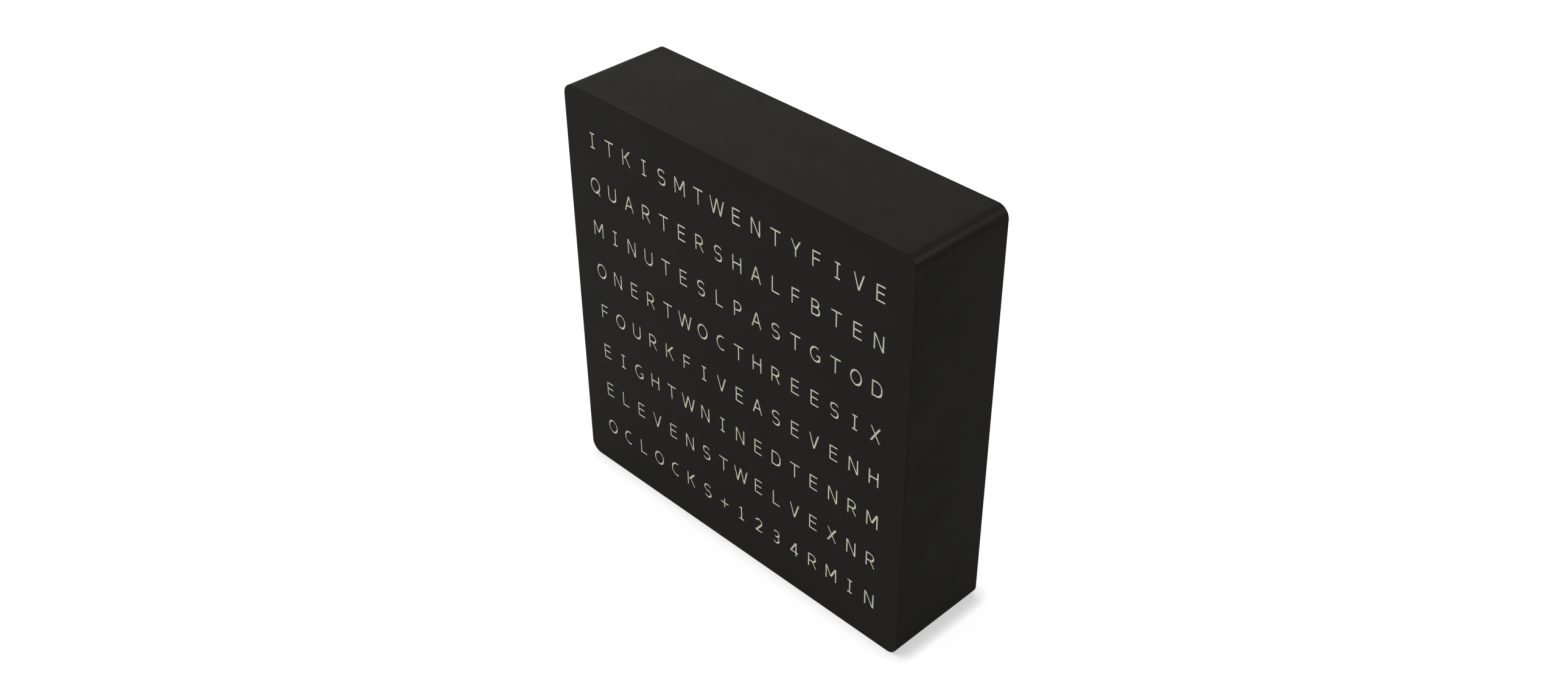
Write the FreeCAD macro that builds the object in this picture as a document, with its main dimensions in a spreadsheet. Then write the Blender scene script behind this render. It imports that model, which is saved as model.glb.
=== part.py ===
import FreeCAD, Part
import math
import os

import Sketcher

# A word clock: a square black box whose front is a grid of letters cut through a black film
# into a cream light guide. Behind each letter stands one cell of a light baffle and one LED.
# Frame: +Z up, the front faces -Y, the origin is the middle of the bottom face at floor level.
# All lengths are millimetres.

V = FreeCAD.Vector
TO_PANEL = FreeCAD.Rotation(V(1, 0, 0), 90)
TO_BACK = FreeCAD.Rotation(V(1, 0, 0), -90)
UPRIGHT = FreeCAD.Rotation()

# Driving dimensions: alias, value, meaning
SIZES = [
    ("case_width", 180, "outside width"),
    ("case_height", 180, "outside height"),
    ("case_depth", 47.3, "outside depth, film included"),
    ("corner_radius", 5, "radius of the four long edges"),
    ("wall_thick", 2.4, "side walls of the case"),
    ("ledge_width", 2.5, "ledge that the light guide seats on, inward from the wall"),
    ("ledge_thick", 2, "ledge, front to back"),
    ("post_width", 7, "screw posts, along the wall"),
    ("post_reach", 6.8, "screw posts, inward from the wall"),
    ("post_from_end", 9.6, "side posts, centre from the bottom or top of the case"),
    ("inner_post_x", 45, "top and bottom posts of the LED carrier, centre from the middle"),
    ("film_thick", 0.25, "black face film"),
    ("guide_thick", 2.2, "cream light guide"),
    ("letter_depth", 1.6, "letters, from the front face to their floor"),
    ("letter_columns", 16, "letters in a row"),
    ("letter_rows", 8, "rows of letters"),
    ("column_pitch", 10, "letter to letter"),
    ("row_pitch", 20, "row to row"),
    ("cap_height", 7, "height of a letter"),
    ("stroke_width", 0.85, "width of a letter's stroke"),
    ("seat_gap", 0.1, "light guide to the wall, each side"),
    ("panel_gap", 0.2, "LED carrier and rear cover to the wall and the posts, each side"),
    ("baffle_depth", 10, "light baffle, front to back"),
    ("baffle_wall", 1.2, "walls between the baffle's cells"),
    ("baffle_notch", 2, "depth of the wire notches in the baffle's side walls"),
    ("carrier_thick", 3, "plate that carries the LED strips"),
    ("strip_width", 10, "LED strip"),
    ("strip_thick", 0.3, "LED strip"),
    ("strip_play", 0.05, "depth that a strip lies below the carrier's face"),
    ("led_size", 5, "side of an LED package"),
    ("led_height", 1.6, "height of an LED package"),
    ("led_window", 3.8, "diameter of an LED's window"),
    ("window_depth", 0.3, "depth of an LED's window"),
    ("link_wire", 1, "diameter of the thin wires"),
    ("power_wire", 1.6, "diameter of the supply wires"),
    ("pad_pitch", 3, "solder pad to solder pad across a strip"),
    ("pad_size", 1.6, "side of a solder pad"),
    ("pad_thick", 0.06, "thickness of a solder pad"),
    ("pad_inset", 1.5, "solder pads, centre from a strip's end"),
    ("feed_reach", 4, "feed wires of the first strip, outward from its end"),
    ("cover_thick", 3, "rear cover"),
    ("cover_recess", 2.5, "rear cover's face, in from the case's rear rim"),
    ("screw_size", 2.5, "diameter of the case screws"),
    ("head_size", 4.8, "diameter of their heads"),
    ("head_height", 1.6, "height of their heads"),
    ("cover_screw_length", 8, "cover screws under the head"),
    ("carrier_screw_length", 7, "carrier screws under the head"),
    ("hole_play", 0.2, "clearance round a screw that passes a panel, on radius"),
    ("insert_size", 3.5, "outside diameter of the brass inserts"),
    ("insert_length", 5, "length of the brass inserts"),
    ("fit_play", 0.02, "clearance of a seated round piece, on radius"),
    ("board_screw_size", 2, "diameter of the board screws"),
    ("board_head_size", 3.6, "diameter of their heads"),
    ("board_screw_length", 6, "board screws under the head"),
    ("pillar_size", 5.5, "diameter of the board pillars on the rear cover"),
    ("pillar_height", 5, "height of the board pillars"),
    ("board_thick", 1.6, "circuit boards"),
    ("board_hole_inset", 3, "board screw holes from the board's edges"),
    ("controller_length", 52, "controller board, across"),
    ("controller_height", 28, "controller board, upward"),
    ("controller_from_side", 42, "controller board's centre, in from the case's -X side"),
    ("boards_z", 72, "both boards, centre height"),
    ("power_board_length", 50, "power board, across"),
    ("power_board_height", 36, "power board, upward"),
    ("supply_terminal_rise", -8, "two-way terminal, up from the board's centre"),
    ("strip_terminal_rise", 5.4, "three-way terminal, up from the board's centre"),
    ("power_board_from_side", 48, "power board's centre, in from the case's +X side"),
    ("rear_parts_z", 30, "push buttons and supply socket, centre height"),
    ("button_pitch", 16, "push button to push button"),
    ("first_button_from_side", 14, "outermost push button, in from the case's -X side"),
    ("button_barrel", 6.9, "diameter of a button's threaded barrel"),
    ("button_barrel_length", 9, "length of a button's threaded barrel under its flange"),
    ("button_housing_length", 6, "length of a button's housing, in front of its barrel"),
    ("button_flange", 9.4, "diameter of a button's flange"),
    ("button_flange_thick", 1, "thickness of a button's flange"),
    ("button_cap_size", 4.6, "diameter of a button's cap"),
    ("collar_size", 5.4, "diameter of the collar that holds a cap in"),
    ("collar_thick", 1, "thickness of the collar"),
    ("collar_gap", 0.05, "collar to its stop at rest"),
    ("spring_wire", 0.35, "diameter of a button spring's wire"),
    ("spring_size", 4.2, "diameter of a button spring, through its wire's centre"),
    ("slide_play", 0.06, "clearance of a cap in its barrel, on radius"),
    ("button_proud", 1.2, "cap beyond its flange at rest"),
    ("button_travel", 1, "how far a cap goes in"),
    ("socket_from_side", 30, "supply socket, in from the case's +X side"),
    ("socket_barrel", 7.9, "diameter of the socket's threaded barrel"),
    ("socket_length", 12, "length of the socket's barrel under its flange"),
    ("socket_flange", 11, "diameter of the socket's flange"),
    ("socket_flange_thick", 1.2, "thickness of the socket's flange"),
    ("socket_bore", 5.7, "diameter of the socket's bore"),
    ("socket_bore_depth", 9.5, "depth of the socket's bore"),
    ("socket_pin", 2, "diameter of the socket's centre pin"),
    ("tab_length", 3.5, "solder tabs of the buttons and the socket"),
    ("tab_thick", 0.5, "thickness of a solder tab"),
    ("tab_spread", 4, "solder tab to solder tab"),
    ("pin_pitch", 2.54, "header pin to header pin"),
    ("pin_width", 0.6, "side of a header pin"),
    ("pin_height", 8.5, "header pins off the board"),
    ("header_inset", 1.9, "pin headers from the controller board's edges"),
    ("terminal_pitch", 5.08, "way to way in a screw terminal"),
    ("terminal_inset", 7, "screw terminals from the power board's edge"),
    ("keyhole_spacing", 100, "wall keyhole to wall keyhole"),
    ("keyhole_z", 138, "keyhole entry, height above the floor"),
    ("keyhole_entry", 8.6, "diameter of a keyhole's entry"),
    ("keyhole_slot", 4, "width of a keyhole's slot"),
    ("keyhole_rise", 8, "entry centre to the slot's end centre"),
    ("vent_width", 3, "width of a vent slot"),
    ("vent_height", 20, "height of a vent slot"),
    ("vent_pitch", 8, "vent slot to vent slot"),
    ("vent_count", 8, "vent slots in a row"),
    ("upper_vents_z", 146, "upper vents, centre height"),
    ("lower_vents_z", 30, "lower vents, centre height"),
]

# The face: plain English clock words on the 16 by 8 grid, with filler letters between them
FACE_ROWS = [
    "ITKISMTWENTYFIVE",
    "QUARTERSHALFBTEN",
    "MINUTESLPASTGTOD",
    "ONERTWOCTHREESIX",
    "FOURKFIVEASEVENH",
    "EIGHTWNINEDTENRM",
    "ELEVENSTWELVEXNR",
    "OCLOCKS+1234RMIN",
]

doc = FreeCAD.newDocument("word_clock")


class Size:
    """A length that knows its number and the spreadsheet expression that gives it."""

    def __init__(self, text, value):
        self.text = text
        self.value = value

    def __add__(self, other):
        other = as_size(other)
        return Size(f"({self.text} + {other.text})", self.value + other.value)

    def __sub__(self, other):
        other = as_size(other)
        return Size(f"({self.text} - {other.text})", self.value - other.value)

    def __mul__(self, other):
        other = as_size(other)
        return Size(f"({self.text} * {other.text})", self.value * other.value)

    def __truediv__(self, other):
        other = as_size(other)
        return Size(f"({self.text} / {other.text})", self.value / other.value)

    def __neg__(self):
        return Size(f"(0 - {self.text})", -self.value)

    def __rsub__(self, other):
        return as_size(other) - self

    __radd__ = __add__
    __rmul__ = __mul__


def as_size(number):
    return number if isinstance(number, Size) else Size(repr(number), float(number))


def write_sheet():
    """Fills the spreadsheet and returns an object with one Size for each alias."""
    sheet = doc.addObject("Spreadsheet::Sheet", "sizes")
    for row, (alias, value, meaning) in enumerate(SIZES, start=1):
        sheet.set(f"A{row}", alias)
        sheet.set(f"B{row}", str(value))
        sheet.set(f"C{row}", meaning)
        sheet.setAlias(f"B{row}", alias)
    doc.recompute()
    sizes = type("Sizes", (), {})()
    for alias, _, _ in SIZES:
        setattr(sizes, alias, Size(f"sizes.{alias}", float(sheet.get(alias))))
    return sizes


S = write_sheet()
NODES = {}

# Planes across the depth, front to back
Y_FRONT = -S.case_depth / 2
Y_GUIDE = Y_FRONT + S.film_thick
Y_LEDGE = Y_GUIDE + S.guide_thick
Y_CARRIER = Y_LEDGE + S.baffle_depth
Y_CARRIER_BACK = Y_CARRIER + S.carrier_thick
Y_REAR = S.case_depth / 2
Y_COVER_OUT = Y_REAR - S.cover_recess
Y_COVER_IN = Y_COVER_OUT - S.cover_thick
Y_STRIP = Y_CARRIER + S.strip_play
Y_WIRE = Y_STRIP - S.pad_thick - S.link_wire / 2
Y_BOARD_BACK = Y_COVER_IN - S.pillar_height
Y_BOARD = Y_BOARD_BACK - S.board_thick

# Places on the face
INNER_X = S.case_width / 2 - S.wall_thick
INNER_TOP = S.case_height - S.wall_thick
MID_Z = S.case_height / 2
GRID_X = S.letter_columns * S.column_pitch / 2
GRID_LOW = MID_Z - S.letter_rows * S.row_pitch / 2
FIRST_X = S.column_pitch / 2 - GRID_X
FIRST_ROW_Z = GRID_LOW + S.row_pitch / 2
COLUMNS = int(S.letter_columns.value)
ROWS = int(S.letter_rows.value)
CONTROLLER_X = S.controller_from_side - S.case_width / 2
POWER_BOARD_X = S.case_width / 2 - S.power_board_from_side
FIRST_BUTTON_X = S.first_button_from_side - S.case_width / 2
SOCKET_X = S.case_width / 2 - S.socket_from_side
FEED_X = GRID_X + S.feed_reach
POST_IN = S.post_reach / 2
SIDE_POST_X = INNER_X - POST_IN
EDGE_POST_LOW = S.wall_thick + POST_IN
EDGE_POST_HIGH = INNER_TOP - POST_IN
COVER_POSTS = [
    (SIDE_POST_X, S.post_from_end),
    (-SIDE_POST_X, S.post_from_end),
    (SIDE_POST_X, S.case_height - S.post_from_end),
    (-SIDE_POST_X, S.case_height - S.post_from_end),
    (as_size(0), EDGE_POST_LOW),
    (as_size(0), EDGE_POST_HIGH),
]
CARRIER_POSTS = [
    (S.inner_post_x, EDGE_POST_LOW),
    (-S.inner_post_x, EDGE_POST_LOW),
    (S.inner_post_x, EDGE_POST_HIGH),
    (-S.inner_post_x, EDGE_POST_HIGH),
]
BUTTONS = ["setup", "dimmer", "brighter"]


# Helpers: document objects bound to the sheet


def bind(thing, **properties):
    for name, length in properties.items():
        thing.setExpression(name, as_size(length).text)


def put(thing, x=0, y=0, z=0, turn=UPRIGHT):
    """Places an object and binds its position."""
    place = [as_size(p) for p in (x, y, z)]
    thing.Placement = FreeCAD.Placement(V(*[p.value for p in place]), turn)
    for axis, length in zip("xyz", place):
        thing.setExpression(f"Placement.Base.{axis}", length.text)
    return thing


def keep(label, thing):
    """Names an object as one of the clock's pieces."""
    thing.Label = label
    NODES[label] = thing
    return thing


def box(name, low, size):
    """A block from its low corner, along the row's own axes."""
    block = doc.addObject("Part::Box", name)
    bind(block, Length=size[0], Width=size[1], Height=size[2])
    return put(block, *low)


def rod(name, centre, radius, length, turn=TO_BACK):
    """A cylinder from its front end, pointing backward unless turned."""
    cylinder = doc.addObject("Part::Cylinder", name)
    bind(cylinder, Radius=radius, Height=length)
    return put(cylinder, *centre, turn)


def hexagon(name, centre, across_flats, length):
    prism = doc.addObject("Part::Prism", name)
    prism.Polygon = 6
    bind(prism, Circumradius=across_flats / math.sqrt(3), Height=length)
    return put(prism, *centre, TO_BACK)


def compound(name, things):
    group = doc.addObject("Part::Compound", name)
    group.Links = things
    return group


def cut(name, base, *tools):
    result = doc.addObject("Part::Cut", name)
    result.Base = base
    result.Tool = tools[0] if len(tools) == 1 else compound(name + "_tools", list(tools))
    return result


def fuse(name, *things):
    result = doc.addObject("Part::MultiFuse", name)
    result.Shapes = list(things)
    return result


def feature(name, shape):
    thing = doc.addObject("Part::Feature", name)
    thing.Shape = shape
    return thing


def copies(label, template, places):
    """A group of separate solids: the template's shape moved to each place."""
    doc.recompute()
    shapes = []
    for x, y, z in places:
        copy = template.Shape.copy()
        copy.translate(V(as_size(x).value, as_size(y).value, as_size(z).value))
        shapes.append(copy)
    return keep(label, feature(label, Part.makeCompound(shapes)))


# Helpers: panels, drawn as seen from the front. A panel's own Z points forward from its back face


def panel(label, y_back):
    body = doc.addObject("PartDesign::Body", label)
    put(body, 0, y_back, 0, TO_PANEL)
    body.Label = label
    return body


def origin_part(body, role):
    return next(part for part in body.Origin.OriginFeatures if part.Role == role)


def sketch(body, name, height=0):
    """A sketch that lies on the body's back plane, or that far in front of it."""
    drawing = body.newObject("Sketcher::SketchObject", f"{body.Name}_{name}")
    drawing.AttachmentSupport = (origin_part(body, "XY_Plane"), [""])
    drawing.MapMode = "FlatFace"
    drawing.setExpression("AttachmentOffset.Base.z", as_size(height).text)
    return drawing


def dimension(drawing, kind, points, length, name):
    number = drawing.addConstraint(Sketcher.Constraint(kind, *points, length.value))
    drawing.renameConstraint(number, name)
    drawing.setExpression(f"Constraints.{name}", length.text)


def rectangle(drawing, low_x, low_z, width, height):
    """A rectangle from its low corner."""
    low_x, low_z, width, height = [as_size(length) for length in (low_x, low_z, width, height)]
    first = drawing.GeometryCount
    left, bottom = low_x.value, low_z.value
    right, top = left + width.value, bottom + height.value
    corners = [V(left, bottom, 0), V(right, bottom, 0), V(right, top, 0), V(left, top, 0)]
    lines = [Part.LineSegment(corners[i], corners[(i + 1) % 4]) for i in range(4)]
    drawing.addGeometry(lines, False)
    for i in range(4):
        link = Sketcher.Constraint("Coincident", first + i, 2, first + (i + 1) % 4, 1)
        drawing.addConstraint(link)
    for i, direction in enumerate(["Horizontal", "Vertical", "Horizontal", "Vertical"]):
        drawing.addConstraint(Sketcher.Constraint(direction, first + i))
    dimension(drawing, "DistanceX", (first, 1, first, 2), width, f"width{first}")
    dimension(drawing, "DistanceY", (first + 1, 1, first + 1, 2), height, f"height{first}")
    dimension(drawing, "DistanceX", (-1, 1, first, 1), low_x, f"left{first}")
    dimension(drawing, "DistanceY", (-1, 1, first, 1), low_z, f"bottom{first}")


def centred_rectangle(drawing, x, z, width, height):
    rectangle(drawing, x - width / 2, z - height / 2, width, height)


def circle(drawing, x, z, radius):
    x, z, radius = as_size(x), as_size(z), as_size(radius)
    number = drawing.addGeometry(Part.Circle(V(x.value, z.value, 0), V(0, 0, 1), radius.value))
    dimension(drawing, "Radius", (number,), radius, f"radius{number}")
    dimension(drawing, "DistanceX", (-1, 1, number, 3), x, f"centre_x{number}")
    dimension(drawing, "DistanceY", (-1, 1, number, 3), z, f"centre_z{number}")


def pad(body, drawing, length):
    step = body.newObject("PartDesign::Pad", drawing.Name + "_pad")
    step.Profile = drawing
    bind(step, Length=length)
    doc.recompute()
    return step


def pocket(body, drawing, depth):
    """Cuts forward from the sketch's plane, and checks that material went."""
    before = body.Shape.Volume
    step = body.newObject("PartDesign::Pocket", drawing.Name + "_pocket")
    step.Profile = drawing
    step.Reversed = True
    bind(step, Length=depth)
    doc.recompute()
    if not step.Shape.Volume < before:
        raise RuntimeError(f"{step.Name} cuts nothing")
    return step


def repeat(body, step, **runs):
    """Repeats a step along the panel's X or Y: x=(pitch, count), y=(pitch, count)."""
    pattern = body.newObject("PartDesign::LinearPattern", step.Name + "_repeat")
    pattern.Originals = [step]
    for ending, axis in zip(("", "2"), sorted(runs)):
        pitch, count = runs[axis]
        setattr(pattern, "Direction" + ending, (origin_part(body, axis.upper() + "_Axis"), [""]))
        bind(pattern, **{"Length" + ending: pitch * (count - 1), "Occurrences" + ending: count})
    body.Tip = pattern
    doc.recompute()
    return pattern


def round_corners(body, radius, half_width, low_z, high_z):
    """Rounds the four edges that run front to back at a rectangle's corners."""
    step = body.Tip
    named = []
    for number, edge in enumerate(step.Shape.Edges, start=1):
        ends = [vertex.Point for vertex in edge.Vertexes]
        if len(ends) != 2 or abs(ends[0].z - ends[1].z) < 1e-6:
            continue
        at_side = abs(abs(ends[0].x) - half_width.value) < 1e-6
        at_end = min(abs(ends[0].y - low_z.value), abs(ends[0].y - high_z.value)) < 1e-6
        if at_side and at_end and (ends[0] - ends[1]).cross(V(0, 0, 1)).Length < 1e-6:
            named.append(f"Edge{number}")
    fillet = body.newObject("PartDesign::Fillet", f"{step.Name}_rounding")
    fillet.Base = (step, named)
    bind(fillet, Radius=radius)
    doc.recompute()
    return fillet


# Letters: strokes drawn as flat faces, with (0, 0) at the letter's low left corner


class Pen:
    """Draws one letter's strokes in a box of the given width and the cap height."""

    def __init__(self, width, height, stroke):
        self.w, self.h, self.s = width, height, stroke
        self.faces = []

    def shape(self, *points):
        corners = [V(x, y, 0) for x, y in points]
        self.faces.append(Part.Face(Part.makePolygon(corners + corners[:1])))

    def bar(self, x0, y0, x1, y1):
        self.shape((x0, y0), (x1, y0), (x1, y1), (x0, y1))

    def slant(self, x0, y0, x1, y1):
        """A sloping stroke between two centre points, the lower one first, with level ends."""
        half = self.s * math.hypot(x1 - x0, y1 - y0) / (y1 - y0) / 2
        self.shape((x0 - half, y0), (x0 + half, y0), (x1 + half, y1), (x1 - half, y1))

    def bend(self, x, y, radius, start, end):
        """A curved stroke about (x, y), from one angle to another, anticlockwise."""
        middle = (start + end) / 2
        turns = [math.radians(angle) for angle in (start, middle, end)]
        rays = [V(math.cos(turn), math.sin(turn), 0) for turn in turns]
        centre = V(x, y, 0)
        outer = [centre + ray * (radius + self.s / 2) for ray in rays]
        inner = [centre + ray * (radius - self.s / 2) for ray in rays]
        edges = [
            Part.Arc(*outer).toShape(),
            Part.LineSegment(outer[2], inner[2]).toShape(),
            Part.Arc(*reversed(inner)).toShape(),
            Part.LineSegment(inner[0], outer[0]).toShape(),
        ]
        self.faces.append(Part.Face(Part.Wire(edges)))

    def round_letter(self, closed=True, end=0):
        """An upright oval of four arcs. Open on the right, its lower cap stops at that angle."""
        a = (self.w - self.s) / 2
        b = (self.h - self.s) / 2
        cap = 0.82 * a
        rise = b - cap
        shift = (rise**2 - (a - cap) ** 2) / (2 * (a - cap))
        turn = math.degrees(math.atan2(rise, shift))
        middle = self.h / 2
        left = self.w / 2
        self.bend(left, middle + rise, cap, turn, 180 - turn)
        self.bend(left, middle - rise, cap, 180 + turn, 360 - (end or turn))
        self.bend(left + shift, middle, a + shift, 180 - turn, 180 + turn)
        if closed:
            self.bend(left - shift, middle, a + shift, -turn, turn)

    def bowl(self, low, high, right):
        """The round part of a P: two level strokes and a half circle, low and high its centre lines."""
        radius = (high - low) / 2
        corner = right - radius
        for level in (low, high):
            self.bar(0, level - self.s / 2, corner, level + self.s / 2)
        self.bend(corner, low + radius, radius, -90, 90)

    def letter(self):
        """The strokes joined into one face, centred on (0, 0)."""
        joined = self.faces[0].fuse(self.faces[1:]).removeSplitter()
        if len(joined.Faces) != 1:
            raise RuntimeError(f"a letter's strokes make {len(joined.Faces)} faces")
        face = joined.Faces[0]
        face.translate(V(-(face.BoundBox.XMin + face.BoundBox.XMax) / 2, -self.h / 2, 0))
        return face


def draw_a(p):
    p.slant(p.s / 2, 0, p.w / 2, p.h)
    p.slant(p.w - p.s / 2, 0, p.w / 2, p.h)
    p.bar(0.24 * p.w, 0.3 * p.h, 0.76 * p.w, 0.3 * p.h + p.s)


def draw_b(p):
    p.bar(0, 0, p.s, p.h)
    waist = 0.52 * p.h
    p.bowl(waist, p.h - p.s / 2, 0.9 * p.w - p.s / 2)
    p.bowl(p.s / 2, waist, p.w - p.s / 2)


def draw_c(p):
    p.w = 1.26 * p.w
    p.round_letter(closed=False)


def draw_d(p):
    p.bar(0, 0, p.s, p.h)
    radius = 0.48 * p.w
    side = p.w - p.s / 2
    corner = side - radius
    p.bar(0, 0, corner, p.s)
    p.bar(0, p.h - p.s, corner, p.h)
    p.bend(corner, p.s / 2 + radius, radius, -90, 0)
    p.bend(corner, p.h - p.s / 2 - radius, radius, 0, 90)
    p.bar(side - p.s / 2, p.s / 2 + radius, side + p.s / 2, p.h - p.s / 2 - radius)


def draw_e(p):
    draw_f(p)
    p.bar(0, 0, p.w, p.s)


def draw_f(p):
    p.bar(0, 0, p.s, p.h)
    p.bar(0, p.h - p.s, p.w, p.h)
    p.bar(0, 0.53 * p.h - p.s / 2, 0.93 * p.w, 0.53 * p.h + p.s / 2)


def draw_g(p):
    p.w = 1.16 * p.w
    p.round_letter(closed=False, end=22)
    right = 0.89 * p.w
    p.bar(right - p.s, 0.11 * p.h, right, 0.5 * p.h)
    p.bar(0.55 * p.w, 0.5 * p.h - p.s, right, 0.5 * p.h)


def draw_h(p):
    p.bar(0, 0, p.s, p.h)
    p.bar(p.w - p.s, 0, p.w, p.h)
    p.bar(0, 0.53 * p.h - p.s / 2, p.w, 0.53 * p.h + p.s / 2)


def draw_i(p):
    p.bar((p.w - p.s) / 2, 0, (p.w + p.s) / 2, p.h)
    p.bar(0, 0, p.w, p.s)
    p.bar(0, p.h - p.s, p.w, p.h)


def draw_k(p):
    p.bar(0, 0, p.s, p.h)
    joint = p.s + 0.06 * p.h
    p.slant(joint, 0.46 * p.h, p.w - p.s / 2, p.h)
    p.slant(p.w - p.s / 2, 0, joint + 0.12 * p.w, 0.58 * p.h)


def draw_l(p):
    p.bar(0, 0, p.s, p.h)
    p.bar(0, 0, p.w, p.s)


def draw_m(p):
    p.bar(0, 0, p.s, p.h)
    p.bar(p.w - p.s, 0, p.w, p.h)
    p.slant(p.w / 2, 0.28 * p.h, 0.62 * p.s, p.h)
    p.slant(p.w / 2, 0.28 * p.h, p.w - 0.62 * p.s, p.h)


def draw_n(p):
    p.bar(0, 0, p.s, p.h)
    p.bar(p.w - p.s, 0, p.w, p.h)
    p.slant(p.w - 0.62 * p.s, 0, 0.62 * p.s, p.h)


def draw_o(p):
    p.round_letter()


def draw_p(p):
    p.bar(0, 0, p.s, p.h)
    p.bowl(0.44 * p.h, p.h - p.s / 2, p.w - p.s / 2)


def draw_q(p):
    p.round_letter()
    p.slant(0.94 * p.w, -0.08 * p.h, 0.62 * p.w, 0.28 * p.h)


def draw_r(p):
    p.bar(0, 0, p.s, p.h)
    p.bowl(0.46 * p.h, p.h - p.s / 2, 0.9 * p.w - p.s / 2)
    p.slant(p.w - 0.62 * p.s, 0, 0.46 * p.w, 0.46 * p.h)


def draw_s(p):
    radius = (p.h - p.s) / 4
    left, right = radius + p.s / 2, p.w - radius - p.s / 2
    low, high = p.s / 2 + radius, p.h - p.s / 2 - radius
    middle = p.h / 2
    p.bend(right, high, radius, 25, 90)
    p.bar(left, p.h - p.s, right, p.h)
    p.bend(left, high, radius, 90, 270)
    p.bar(left, middle - p.s / 2, right, middle + p.s / 2)
    p.bend(right, low, radius, -90, 90)
    p.bar(left, 0, right, p.s)
    p.bend(left, low, radius, 205, 270)


def draw_t(p):
    p.bar((p.w - p.s) / 2, 0, (p.w + p.s) / 2, p.h)
    p.bar(0, p.h - p.s, p.w, p.h)


def draw_u(p):
    radius = (p.w - p.s) / 2
    base = radius + p.s / 2
    p.bar(0, base, p.s, p.h)
    p.bar(p.w - p.s, base, p.w, p.h)
    p.bend(p.w / 2, base, radius, 180, 360)


def draw_v(p):
    p.slant(p.w / 2, 0, p.s / 2, p.h)
    p.slant(p.w / 2, 0, p.w - p.s / 2, p.h)


def draw_w(p):
    p.slant(0.27 * p.w, 0, p.s / 2, p.h)
    p.slant(0.27 * p.w, 0, p.w / 2, p.h)
    p.slant(0.73 * p.w, 0, p.w / 2, p.h)
    p.slant(0.73 * p.w, 0, p.w - p.s / 2, p.h)


def draw_x(p):
    p.slant(p.w - 0.55 * p.s, 0, 0.55 * p.s, p.h)
    p.slant(0.55 * p.s, 0, p.w - 0.55 * p.s, p.h)


def draw_y(p):
    fork = 0.44 * p.h
    p.slant(p.w / 2, fork, 0.55 * p.s, p.h)
    p.slant(p.w / 2, fork, p.w - 0.55 * p.s, p.h)
    p.bar((p.w - p.s) / 2, 0, (p.w + p.s) / 2, fork + 0.5 * p.s)


def draw_plus(p):
    middle = 0.42 * p.h
    p.bar(0, middle - p.s / 2, p.w, middle + p.s / 2)
    p.bar((p.w - p.s) / 2, middle - p.w / 2, (p.w + p.s) / 2, middle + p.w / 2)


def draw_1(p):
    p.bar((p.w - p.s) / 2, 0, (p.w + p.s) / 2, p.h)
    p.bar(0, 0, p.w, p.s)
    p.bar(0, p.h - 1.6 * p.s, p.w / 2, p.h - 0.6 * p.s)


def draw_2(p):
    radius = (p.w - p.s) / 2
    x, y = p.w / 2, p.h - p.s / 2 - radius
    foot_x, foot_y = 0.75 * p.s, p.s / 2
    away = math.hypot(foot_x - x, foot_y - y)
    turn = math.atan2(foot_y - y, foot_x - x) + math.acos(radius / away)
    p.bend(x, y, radius, math.degrees(turn), 165)
    run = x + radius * math.cos(turn) - foot_x
    rise = y + radius * math.sin(turn) - foot_y
    half = p.s * math.hypot(run, rise) / rise / 2
    reaches = (radius + p.s / 2, radius - p.s / 2)
    tips = [(x + reach * math.cos(turn), y + reach * math.sin(turn)) for reach in reaches]
    p.shape((foot_x - half, foot_y), (foot_x + half, foot_y), *tips)
    p.bar(0, 0, p.w, p.s)


def draw_3(p):
    waist = 0.52 * p.h
    for low, high, start, end in ((p.s / 2, waist, -150, 90), (waist, p.h - p.s / 2, -90, 150)):
        radius = (high - low) / 2
        p.bend(p.w - p.s / 2 - radius, low + radius, radius, start, end)
    p.bar(0.35 * p.w, waist - p.s / 2, 0.55 * p.w, waist + p.s / 2)


def draw_4(p):
    stem = 0.72 * p.w
    level = 0.28 * p.h
    p.bar(stem - p.s / 2, 0, stem + p.s / 2, p.h)
    p.bar(0, level - p.s / 2, p.w, level + p.s / 2)
    p.slant(0.6 * p.s, level, stem - 0.1 * p.s, p.h)


# Each letter's drawing and its width as a share of the cap height
LETTERS = {
    "A": (draw_a, 0.78),
    "B": (draw_b, 0.65),
    "C": (draw_c, 0.70),
    "D": (draw_d, 0.74),
    "E": (draw_e, 0.61),
    "F": (draw_f, 0.59),
    "G": (draw_g, 0.74),
    "H": (draw_h, 0.71),
    "I": (draw_i, 0.40),
    "K": (draw_k, 0.69),
    "L": (draw_l, 0.58),
    "M": (draw_m, 0.84),
    "N": (draw_n, 0.71),
    "O": (draw_o, 0.84),
    "P": (draw_p, 0.62),
    "Q": (draw_q, 0.84),
    "R": (draw_r, 0.71),
    "S": (draw_s, 0.64),
    "T": (draw_t, 0.76),
    "U": (draw_u, 0.71),
    "V": (draw_v, 0.76),
    "W": (draw_w, 1.14),
    "X": (draw_x, 0.74),
    "Y": (draw_y, 0.74),
    "+": (draw_plus, 0.68),
    "1": (draw_1, 0.44),
    "2": (draw_2, 0.60),
    "3": (draw_3, 0.60),
    "4": (draw_4, 0.66),
}


def letter_places():
    """Each letter of the face that falls on the grid, with its centre."""
    for row, text in enumerate(FACE_ROWS[:ROWS]):
        for column, sign in enumerate(text[:COLUMNS]):
            x = FIRST_X.value + column * S.column_pitch.value
            z = FIRST_ROW_Z.value + (ROWS - 1 - row) * S.row_pitch.value
            yield sign, x, z


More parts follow.
